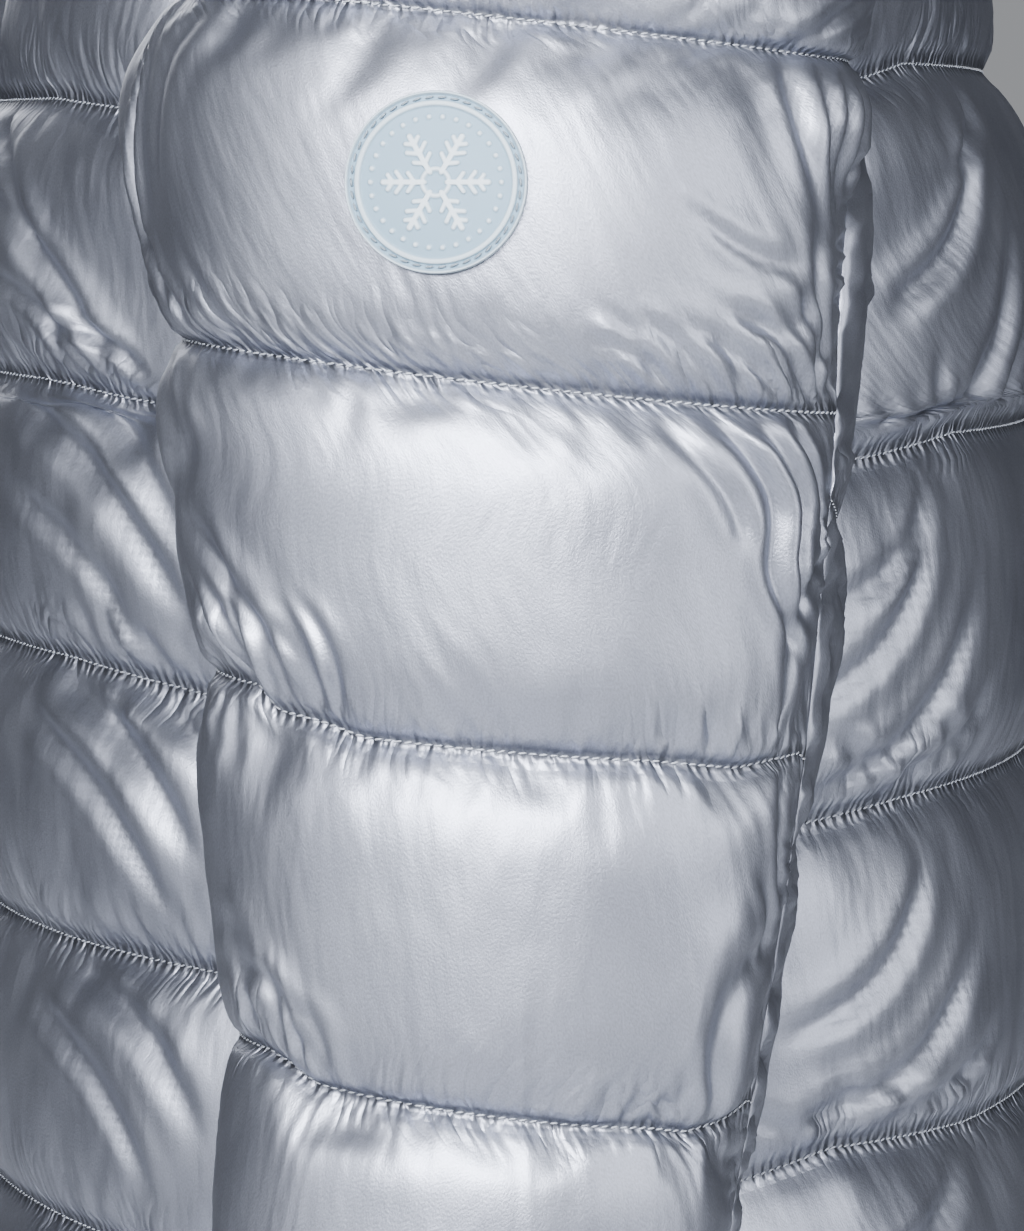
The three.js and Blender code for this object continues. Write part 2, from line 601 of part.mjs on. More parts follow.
function topSleeve(name, side) {
  const base = sleeveLevels.map((level, row) => {
    const startShare = row <= UNDER_FIRST_ROW ? 0 : valueAt(SLEEVE_SEAMS, "row", row, "front");
    const endShare = row <= UNDER_FIRST_ROW ? 0 : valueAt(SLEEVE_SEAMS, "row", row, "back");
    return SLEEVE_COLUMNS.map((part, c) => {
      const along = mix(startShare - 1, 1 - endShare, part);
      const face = along < 0 ? -1 : 1;
      if (row === 0) {
        const top = secondSide(ARMHOLE.front[0]);
        const corner = secondSide(ARMHOLE[along < 0 ? "front" : "back"][1]);
        return top.lerp(corner, Math.abs(2 * part - 1));
      }
      const edge = c === 0 || c === SLEEVE_COLUMNS.length - 1;
      if (edge && row <= UNDER_FIRST_ROW) return secondSide(ARMHOLE[face < 0 ? "front" : "back"][level.node]);
      if (edge) {
        const node = LONG_SEAM[face][row];
        return node.point.clone().addScaledVector(towardsTop(node, face, row), SEAM_GAP / 2);
      }
      return slicePoint(row, face, 1 - Math.abs(along)).point;
    });
  });
  const inside = (p) => vec(ARM_X, valueAt(SLEEVE, "z", p.z, "middleY"), Math.min(p.z, ARM_TOP_Z));
  const normals = gridNormals(base, inside);
  const last = SLEEVE_COLUMNS.length - 1;
  const outer = [];
  const inner = [];
  base.forEach((row, r) => {
    const length = row.slice(1).reduce((sum, p, c) => sum + p.distanceTo(row[c]), 0);
    const rise = sleeveRise(sleeveLevels[r].z, SLEEVE_LINES);
    outer.push([]);
    inner.push([]);
    row.forEach((point, c) => {
      let normal = normals[r][c];
      const face = c === 0 ? "front" : "back";
      if (c === 0 || c === last) {
        const onArmhole = r <= UNDER_FIRST_ROW;
        const seamNode = onArmhole ? ARMHOLE[face][sleeveLevels[r].node] : LONG_SEAM[c === 0 ? -1 : 1][r];
        normal = seamNode.normal;
      } else if (r === 0) {
        const half = Math.abs(2 * SLEEVE_COLUMNS[c] - 1);
        const corner = ARMHOLE[SLEEVE_COLUMNS[c] < 0.5 ? "front" : "back"][1].normal;
        normal = ARMHOLE.front[0].normal.clone().lerp(corner, half).normalize();
      }
      const distance = Math.min(SLEEVE_COLUMNS[c], 1 - SLEEVE_COLUMNS[c]) * length;
      const outward = SIDE_PUFF + (1 - SIDE_PUFF) * Math.sin(Math.PI * SLEEVE_COLUMNS[c]) ** 3;
      const puff = SLEEVE_PUFF * rise * edgeRise(distance) * outward;
      outer[r].push(point.clone().addScaledVector(normal, r === 0 ? 0 : puff));
      inner[r].push(point.clone().addScaledVector(normal, -WALL));
    });
  });
  const kept = sleeveLevels.map((_, r) => r).filter(keptSleeveRow);
  const place = (grid) => (side > 0 ? grid : grid.map((row) => row.map(mirrored)));
  return { mesh: wallMesh(name, place(outer), place(inner), kept, panelMaterial), outer };
}

// Under sleeve: its top edge is the low part of the armhole, and it becomes a plain tube lower down
function underSleeve(name, side) {
  const firstNode = UNDER_FIRST_ROW + 1;
  const front = ARMHOLE.front.slice(firstNode);
  const back = ARMHOLE.back.slice(firstNode, -1).reverse();
  const edge = [...front, ...back];
  const middle = front.length - 1;
  const top = edge.map(secondSide);
  const reach = (from, to) => {
    let sum = 0;
    for (let k = from; k < to; k++) sum += top[k].distanceTo(top[k + 1]);
    return sum;
  };
  const shares = top.map((_, c) => (c <= middle
    ? -reach(c, middle) / reach(0, middle)
    : reach(middle, c) / reach(middle, top.length - 1)));
  const seamPoint = (face, row) => {
    const node = LONG_SEAM[face][row];
    if (row === UNDER_FIRST_ROW) return face < 0 ? top[0] : top[top.length - 1];
    return node.point.clone().addScaledVector(towardsTop(node, face, row), -SEAM_GAP / 2);
  };
  const ringPoint = (row, c) => {
    const face = shares[c] < 0 ? -1 : 1;
    if (c === 0 || c === top.length - 1) return seamPoint(face, row);
    const limit = valueAt(SLEEVE_SEAMS, "row", row, face < 0 ? "front" : "back");
    return slicePoint(row, face, Math.abs(shares[c]) * limit).point;
  };
  const rows = [];
  for (let row = UNDER_FIRST_ROW; row < sleeveLevels.length; row++) rows.push(row);
  const ringRow = rows.indexOf(FIRST_FULL_RING);
  const base = rows.map((row, r) => top.map((corner, c) => {
    if (r === 0) return corner.clone();
    if (r >= ringRow) return ringPoint(row, c);
    if (c === 0) return seamPoint(-1, row);
    if (c === top.length - 1) return seamPoint(1, row);
    const down = r / ringRow;
    const over = (shares[c] + 1) / 2;
    const place = corner.clone().lerp(ringPoint(FIRST_FULL_RING, c), down);
    for (const [face, side, near] of [[-1, 0, 1 - over], [1, top.length - 1, over]]) {
      const straight = top[side].clone().lerp(ringPoint(FIRST_FULL_RING, side), down);
      place.addScaledVector(seamPoint(face, row).clone().sub(straight), near ** 3);
    }
    return place;
  }));
  const normals = gridNormals(base, (p) => vec(275, valueAt(SLEEVE, "z", p.z, "middleY"), p.z + 20));
  const last = top.length - 1;
  const outer = [];
  const inner = [];
  base.forEach((row, r) => {
    outer.push([]);
    inner.push([]);
    const length = row.slice(1).reduce((sum, p, c) => sum + p.distanceTo(row[c]), 0);
    row.forEach((point, c) => {
      let normal = normals[r][c];
      if (c === 0 || c === last) normal = LONG_SEAM[c === 0 ? -1 : 1][rows[r]].normal;
      if (r === 0) normal = edge[c].normal;
      const distance = Math.min(c, last - c) / last * length;
      const facingBody = Math.sin(Math.PI * c / last);
      const settle = smooth(clamp01(r / ringRow));
      const channel = sleeveRise(point.z, UNDER_LINES) * edgeRise(distance);
      const puff = UNDER_PUFF * channel * (1 - 0.5 * facingBody) * settle;
      outer[r].push(point.clone().addScaledVector(normal, puff));
      inner[r].push(point.clone().addScaledVector(normal, -WALL));
    });
  });
  const kept = rows.map((_, r) => r).filter((r) => keptSleeveRow(rows[r]));
  const place = (grid) => (side > 0 ? grid : grid.map((row) => row.map(mirrored)));
  return wallMesh(name, place(outer), place(inner), kept, panelMaterial);
}

// Round badge on the outer side of the left sleeve, laid on the sleeve's own points
function badge(name, sleeveOuter) {
  const triangles = [];
  for (let r = 0; r + 1 < sleeveOuter.length; r++) {
    for (let c = 0; c + 1 < sleeveOuter[r].length; c++) {
      const [a, b] = [sleeveOuter[r][c], sleeveOuter[r][c + 1]];
      const [d, e] = [sleeveOuter[r + 1][c + 1], sleeveOuter[r + 1][c]];
      triangles.push([a, b, d], [a, d, e]);
    }
  }
  const surfaceX = (y, z) => {
    let best = -Infinity;
    for (const [a, b, c] of triangles) {
      const area = (b.y - a.y) * (c.z - a.z) - (c.y - a.y) * (b.z - a.z);
      if (Math.abs(area) < 1e-9) continue;
      const v = ((y - a.y) * (c.z - a.z) - (c.y - a.y) * (z - a.z)) / area;
      const w = ((b.y - a.y) * (z - a.z) - (y - a.y) * (b.z - a.z)) / area;
      const within = v >= -1e-6 && w >= -1e-6 && v + w <= 1 + 1e-6;
      if (within) best = Math.max(best, a.x + v * (b.x - a.x) + w * (c.x - a.x));
    }
    return best;
  };
  const points = [];
  const faces = [];
  const push = (x, y, z) => points.push(x, y, z) / 3 - 1;
  const ringPoint = (radius, k) => {
    const turn = k / BADGE.sectors * Math.PI * 2;
    return [BADGE.y + radius * Math.cos(turn), BADGE.z + radius * Math.sin(turn)];
  };
  const back = (y, z) => surfaceX(y, z) + BADGE.gap;
  const centreFront = push(back(BADGE.y, BADGE.z) + BADGE_RINGS[0].height, BADGE.y, BADGE.z);
  const addRing = (radius, height) => Array.from({ length: BADGE.sectors }, (_, k) => {
    const [y, z] = ringPoint(radius, k);
    return push(back(y, z) + height, y, z);
  });
  const front = BADGE_RINGS.map((ring) => addRing(ring.radius, ring.height));
  const rear = [BADGE.radius, BADGE.radius / 2].map((radius) => addRing(radius, 0));
  const centreBack = push(back(BADGE.y, BADGE.z), BADGE.y, BADGE.z);
  const rings = [...front, ...rear];
  for (let k = 0; k < BADGE.sectors; k++) {
    const next = (k + 1) % BADGE.sectors;
    faces.push(centreFront, rings[0][k], rings[0][next]);
    for (let r = 0; r + 1 < rings.length; r++) {
      faces.push(rings[r][k], rings[r + 1][k], rings[r + 1][next]);
      faces.push(rings[r][k], rings[r + 1][next], rings[r][next]);
    }
    faces.push(centreBack, rings[rings.length - 1][next], rings[rings.length - 1][k]);
  }
  return solidMesh(name, points, faces, rubberMaterial);
}

// Line of the zip from the hem to the top of the collar, in the middle plane
const everyOther = (r) => (frontRows.length - r) % 2 === 1;
const zipRows = frontRows.filter((row, r) => row.inner && (row.z < UNDERARM_Z || everyOther(r)));
const zipLine = zipRows.map((row) => vec(0, row.points[0].y, row.points[0].z));
const COLLAR_ZIP_ROWS = [4, 8];
for (const r of COLLAR_ZIP_ROWS) zipLine.push(vec(0, collarHalf[r][0].y, collarHalf[r][0].z));
const zipTop = zipLine[zipLine.length - 1];
const zipEndStep = zipTop.clone().sub(zipLine[zipLine.length - 2]).normalize();
zipTop.addScaledVector(zipEndStep, -ZIP.topStop);
const zipOut = vec(0, -zipEndStep.z, zipEndStep.y).normalize();

function zipTape(name, side) {
  const section = [
    [ZIP.halfGap, -ZIP.toothBack], [ZIP.toothWidth, -ZIP.toothBack], [ZIP.toothWidth, -ZIP.tapeThick],
    [ZIP.tapeEdge, -ZIP.tapeThick], [ZIP.tapeEdge, 0], [ZIP.toothWidth, 0],
    [ZIP.toothWidth, ZIP.toothRise], [ZIP.halfGap, ZIP.toothRise],
  ];
  const points = [];
  zipLine.forEach((point, k) => {
    const before = zipLine[Math.max(k - 1, 0)];
    const way = zipLine[Math.min(k + 1, zipLine.length - 1)].clone().sub(before).normalize();
    const out = vec(0, -way.z, way.y);
    for (const [x, height] of section) {
      const place = point.clone().addScaledVector(out, height);
      points.push(side * x, place.y, place.z);
    }
  });
  const faces = [];
  const count = section.length;
  for (let k = 0; k + 1 < zipLine.length; k++) {
    for (let s = 0; s < count; s++) {
      const next = (s + 1) % count;
      const [a, b, c, d] = [k * count + s, k * count + next, (k + 1) * count + next, (k + 1) * count + s];
      faces.push(a, b, c, a, c, d);
    }
  }
  const flat = section.map(([x, y]) => new THREE.Vector2(x, y));
  const caps = THREE.ShapeUtils.triangulateShape(flat, []);
  const end = (zipLine.length - 1) * count;
  for (const [a, b, c] of caps) faces.push(a, c, b, end + a, end + b, end + c);
  return solidMesh(name, points, faces, tapeMaterial);
}

// Solids for the two zip pieces, in axes of their own: x across, y outwards, z along the zip
function toManifold(geometry) {
  const plain = geometry.clone();
  plain.deleteAttribute("normal");
  plain.deleteAttribute("uv");
  const merged = mergeVertices(plain, 1e-4);
  return new wasm.Manifold(new wasm.Mesh({
    numProp: 3,
    vertProperties: new Float32Array(merged.attributes.position.array),
    triVerts: new Uint32Array(merged.index.array),
  }));
}

function block(x0, x1, y0, y1, z0, z1) {
  const geometry = new THREE.BoxGeometry(x1 - x0, y1 - y0, z1 - z0);
  geometry.translate((x0 + x1) / 2, (y0 + y1) / 2, (z0 + z1) / 2);
  return toManifold(geometry);
}

function meshOf(name, solid, material) {
  const shape = solid.getMesh();
  const geometry = new THREE.BufferGeometry();
  geometry.setAttribute("position", new THREE.Float32BufferAttribute(shape.vertProperties, 3));
  geometry.setIndex(Array.from(shape.triVerts));
  const mesh = new THREE.Mesh(geometry, new THREE.MeshStandardMaterial(material));
  mesh.name = name;
  return mesh;
}

const sliderFace = ZIP.toothRise + SLIDER.clear + SLIDER.plate;
const pullAxis = { y: sliderFace + SLIDER.axisOut, z: -SLIDER.length * 0.42 };

function slider(name) {
  const half = SLIDER.width / 2;
  const rear = -ZIP.toothBack - SLIDER.clear - SLIDER.plate;
  const cap = SLIDER.clear + SLIDER.plate;
  const low = cap - SLIDER.length;
  const bridgeHalf = SLIDER.bridgeWidth / 2;
  const bridgeInner = pullAxis.y + PULL.bar / 2 + 0.5;
  const bridgeOuter = bridgeInner + SLIDER.bridgeThick;
  const foot = SLIDER.bridgeFoot;
  const lowFoot = pullAxis.z - PULL.bar / 2 - 0.6 - foot;
  const highFoot = pullAxis.z + PULL.bar / 2 + 0.6 + foot;
  return meshOf(name, block(-half, half, sliderFace - SLIDER.plate, sliderFace, low, cap)
    .add(block(-half, half, rear, rear + SLIDER.plate, low, cap))
    .add(block(-half, half, rear, sliderFace, SLIDER.clear, cap))
    .add(block(-bridgeHalf, bridgeHalf, sliderFace - 0.5, bridgeOuter, lowFoot, lowFoot + foot))
    .add(block(-bridgeHalf, bridgeHalf, sliderFace - 0.5, bridgeOuter, highFoot - foot, highFoot))
    .add(block(-bridgeHalf, bridgeHalf, bridgeInner, bridgeOuter, lowFoot, highFoot)), metalMaterial);
}

// Pull tab, hanging from its bar under the slider's bridge; the bar is at its own origin
function pull(name) {
  const half = PULL.width / 2;
  const outline = new THREE.Shape();
  outline.moveTo(-half, PULL.bar / 2);
  outline.lineTo(-half, -PULL.length + half);
  outline.absarc(0, -PULL.length + half, half, Math.PI, Math.PI * 2, false);
  outline.lineTo(half, PULL.bar / 2);
  const eye = new THREE.Path();
  eye.moveTo(-half + PULL.side, -PULL.bar / 2);
  eye.lineTo(half - PULL.side, -PULL.bar / 2);
  eye.lineTo(half - PULL.side, -PULL.bar / 2 - PULL.eye);
  eye.lineTo(-half + PULL.side, -PULL.bar / 2 - PULL.eye);
  outline.holes.push(eye);
  const plate = { depth: PULL.thick, bevelEnabled: false, curveSegments: 10 };
  const geometry = new THREE.ExtrudeGeometry(outline, plate);
  geometry.translate(0, 0, -PULL.thick / 2);
  geometry.rotateX(Math.PI / 2);
  return meshOf(name, toManifold(geometry), metalMaterial);
}

const coat = new THREE.Group();
const leftTop = topSleeve("sleeve_left_top", 1);
coat.add(
  frontPanel("front_left", 1),
  frontPanel("front_right", -1),
  backPanel("back"),
  collar("collar"),
  leftTop.mesh,
  underSleeve("sleeve_left_under", 1),
  topSleeve("sleeve_right_top", -1).mesh,
  underSleeve("sleeve_right_under", -1),
  badge("sleeve_badge", leftTop.outer),
  zipTape("zip_tape_left", 1),
  zipTape("zip_tape_right", -1),
);

// The slider stands on the line of the zip at its top, where "y outwards" is the coat's -Y
const sliderGroup = new THREE.Group();
sliderGroup.position.copy(zipTop);
const sliderAxes = new THREE.Matrix4().makeBasis(vec(-1, 0, 0), zipOut, zipEndStep);
sliderGroup.quaternion.setFromRotationMatrix(sliderAxes);
sliderGroup.add(slider("zip_slider"));
coat.add(sliderGroup);

// The pull hangs straight down from its bar
const pullGroup = new THREE.Group();
pullGroup.position.copy(zipTop).addScaledVector(zipOut, pullAxis.y).addScaledVector(zipEndStep, pullAxis.z);
pullGroup.add(pull("zip_pull"));
coat.add(pullGroup);

export default coat;
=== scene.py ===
"""Long quilted puffer coat: satin panels filled by cloth simulation, with thread, zip and rubber badge."""
import math

import bmesh
import bpy
import numpy as np
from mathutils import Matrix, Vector


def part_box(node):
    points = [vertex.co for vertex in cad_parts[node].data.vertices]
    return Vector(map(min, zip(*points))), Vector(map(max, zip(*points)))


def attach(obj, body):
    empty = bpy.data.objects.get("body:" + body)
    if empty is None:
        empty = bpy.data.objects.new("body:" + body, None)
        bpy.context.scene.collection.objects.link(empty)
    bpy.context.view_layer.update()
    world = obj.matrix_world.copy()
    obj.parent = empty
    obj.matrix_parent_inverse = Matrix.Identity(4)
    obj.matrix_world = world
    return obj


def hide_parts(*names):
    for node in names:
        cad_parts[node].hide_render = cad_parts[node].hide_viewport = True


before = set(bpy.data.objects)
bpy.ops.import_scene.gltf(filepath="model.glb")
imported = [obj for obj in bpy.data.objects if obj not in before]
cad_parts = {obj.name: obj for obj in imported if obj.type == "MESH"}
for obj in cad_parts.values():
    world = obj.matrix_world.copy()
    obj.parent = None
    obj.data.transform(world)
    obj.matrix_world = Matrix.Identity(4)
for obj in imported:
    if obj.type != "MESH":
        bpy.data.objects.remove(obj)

bl_info = {
    "name": "Long Puffer Coat",
    "version": (1, 0, 0),
    "blender": (4, 5, 0),
    "location": "View3D > Sidebar > Coat",
    "description": "Quilted satin panels, thread, zip and badge for a long puffer coat",
    "category": "Object",
}

MM = 0.001
BODY = "coat"
TURN = 2 * math.pi
WAVE_BAND = math.pi / 10        # a wave texture's band is this wide at a scale of 1

# Cloth, in millimetres as in the frame's solids
WALL = 3.0
SEAM_GAP = 0.12                 # the sewn pieces nearly touch; the solids keep a wider gap
EDGE_SLOPE = 30.0
LINE_DIP = 12.0
HEM_Z = -1068.0
CUFF_Z = -628.0
UNDERARM_Z = -255.0
ARMHOLE_TOP_X = 190.0
ARMHOLE_TOP_Z = -50.0
ARMHOLE_TOP_ROW = -98.0
ZIP_OPENING = 7.5
RING_SLOPE = 0.11
SIDE_SHARE = 0.42
ROWS_PER_CHANNEL = 4
COLLAR_ROWS = 9
UNDER_FIRST_ROW = 6             # row of the sleeve where the top sleeve's long seams start
FIRST_FULL_RING = 15            # row from which the under sleeve is a plain tube
INNER_STEPS = (4, 3)            # cells of cloth for each cell of a wall's inner face
FAR_FROM_LINES = 40.0
FINE = (2, 2)                   # steps up and across that a finished wall has for each cell of cloth
FAR_SIDE = (2, 1)
NECK_SHARE = {"front": 0.4, "back": 0.39}
NECK = {"half_width": 70.0, "front": 75.0, "back": 62.0, "front_drop": 40.0, "back_rise": 3.0, "side_z": -5.0}
COLLAR_TOP = {"half_width": 64.0, "front": 68.0, "back": 58.0, "front_z": 38.0, "back_z": 76.0}
FRONT_LINES = [-98 - 74 * k for k in range(13)]
BACK_LINES = [-78 - 91 * k for k in range(11)]
SLEEVE_LINES = [-73, -154, -235, -316, -397, -478, -559]

# Badge and zip, in millimetres
BADGE_SECTORS = 300
BADGE_RINGS = 84
BADGE_STITCHES = 42
BADGE_SEAM_RADIUS = 18.35
BADGE_FACE = 1.15               # height of the field above the sleeve
STAR_ARM = (2.6, 11.4)          # from and to which radius
STAR_BRANCHES = ((4.6, 2.4), (7.0, 2.7), (9.3, 1.9))    # radius where each leaves the arm, and its length
STAR_BRANCH_TURN = math.radians(55)
STAR_HUB_RADIUS = 2.9
DOTS = 30
DOTS_RADIUS = 14.2
INNER_RIM_RADIUS = 17.1
OUTER_RIM_START = 19.15
BADGE_EDGE = 19.6               # where the outer rim turns down
OUTER_SIDE_X = 300              # the sleeve's points beyond this lie on its outer side
TOOTH_PITCH = 2.5

# Stage, in metres; each light has its place, what it faces, its width and height, and its power in watts
CAMERA_LENS = 145.6
CAMERA_PLACE = (1.436, -0.0012, -0.185)
CAMERA_DIP = 5.23
FLOOR_Z = -1.42
LIGHTS = (
    ("key_light", (2.2, -0.25, 0.5), (0.25, 0, -0.33), 2.3, 0.95, 88),
    ("top_light", (0.9, 0.1, 1.9), (0.2, 0, -0.35), 1.2, 1.2, 6),
    ("front_light", (1.3, -2.1, 0.1), (0, 0, -0.5), 0.8, 2.0, 10),
    ("back_light", (1.3, 2.1, 0.1), (0, 0, -0.5), 0.8, 2.0, 19),
    ("far_light", (-2.4, -0.6, 0.9), (0, 0, -0.4), 1.8, 1.8, 30),
)
ROOM_LIGHT = (0.0179, 0.0182, 0.0193, 1)
ROOM_SEEN = (0.26, 0.265, 0.275, 1)


def table(columns, *rows):
    """Named columns of numbers, one row for each level."""
    return {name: np.array([row[k] for row in rows], float) for k, name in enumerate(columns.split())}


TORSO = table(
    "z half_width front back",
    (-50, 217, 88, 86),
    (-98, 212, 118, 108),
    (-154, 207, 146, 130),
    (-200, 203, 156, 140),
    (-255, 200, 159, 146),
    (-320, 198, 157, 147),
    (-400, 198, 154, 149),
    (-480, 203, 155, 155),
    (-560, 211, 160, 164),
    (-640, 219, 165, 172),
    (-800, 232, 174, 184),
    (-950, 245, 184, 194),
    (HEM_Z, 254, 192, 201),
)
ARMHOLE_X = table(
    "z x",
    (-50, 190), (-98, 184), (-154, 178), (-186, 180), (-219, 187), (-246, 196), (UNDERARM_Z, 200),
)
ARMHOLE_ROWS = table(
    "front back sleeve",
    (-52, -52, -50.5),
    (-59, -60, -58),
    (-74, -78, -73),
    (-86, -88, -85),
    (-98, -100, -98),
    (-117, -117, -118),
    (-136, -135, -136),
    (-154, -152, -154),
    (-172, -169, -170),
    (-191, -190, -190),
    (-212, -212, -212),
    (-232, -234, -235),
    (-246, -246, -246),
    (UNDERARM_Z, UNDERARM_Z, UNDERARM_Z),
)
SLEEVE = table(
    "z outer inner half_depth middle_y",
    (-50, 191, 190, 14, 0),
    (-55, 228, 190, 33, 0),
    (-63, 252, 189, 45, 0),
    (-73, 272, 187, 54, 0),
    (-85, 288, 186, 61, 0),
    (-98, 300, 184, 67, 0),
    (-124, 316, 180, 74, 0),
    (-154, 326, 178, 77, 0),
    (-186, 331, 180, 78, 0),
    (-235, 332, 192, 77.5, 0),
    (-255, 332, 200, 76, 0),
    (-275, 332, 211, 74, 0),
    (-316, 332, 220, 69.5, 0),
    (-397, 331, 224, 61, -4),
    (-478, 332, 228, 56, -14),
    (-559, 335, 235, 52, -28),
    (-628, 338, 244, 48, -42),
)
SLEEVE_SEAMS = table(
    "row front back",
    (6, 0, 0),
    (7, 0.06, 0.2),
    (8, 0.12, 0.38),
    (9, 0.17, 0.5),
    (10, 0.22, 0.535),
    (11, 0.27, 0.54),
    (13, 0.33, 0.54),
    (17, 0.36, 0.53),
    (40, 0.36, 0.5),
)


def rises(*rows):
    return table("across rise", *rows)


# Quilt lines that leave their level: for a line's number, its rise in millimetres at shares across
WANDER = {
    "sleeve_top": {
        4: rises((0, 0), (0.07, 5.2), (0.25, 5.4), (0.285, 0.6), (0.35, 0), (0.41, -2), (0.57, -0.9),
                 (0.73, 0), (0.84, -0.7), (0.9, 1), (0.97, 2.2), (1, 0)),
        5: rises((0, 0), (0.07, 1.5), (0.23, 2.4), (0.28, 1), (0.33, -2), (0.57, -2.5), (0.77, -3),
                 (0.83, -4), (0.91, -1.8), (0.97, 1.2), (1, 0)),
    },
    "front": {
        2: rises((0, 3), (0.6, 3), (0.8, 0), (1, 0)),
        3: rises((0, 6), (0.5, 6), (0.56, 4.6), (0.7, -2.7), (0.85, 0), (1, 0)),
        4: rises((0, 7.5), (0.46, 7.3), (0.65, 4.3), (0.85, 0), (1, 0)),
        5: rises((0, 6), (0.44, 5.8), (0.67, 6.5), (0.85, 1), (1, 0)),
        6: rises((0, 4), (0.5, 4), (0.85, 0), (1, 0)),
    },
    "back": {
        2: rises((0, 0), (0.16, 2), (0.29, 8), (0.71, 9), (0.84, 9), (0.95, 2), (1, 0)),
        3: rises((0, 0), (0.25, 2), (0.5, 3), (0.71, 3.4), (0.79, -1.2), (0.9, 0), (1, 0)),
        4: rises((0, 0), (0.25, 2), (0.5, 3.5), (0.76, 3.5), (0.83, 2.3), (0.95, 0), (1, 0)),
        5: rises((0, 0), (0.25, 2), (0.5, 3), (0.71, 3.3), (0.82, 8), (0.92, 2), (1, 0)),
    },
}

# Gathers below a quilt line, as a share of those above it
BELOW_LINE = 0.45

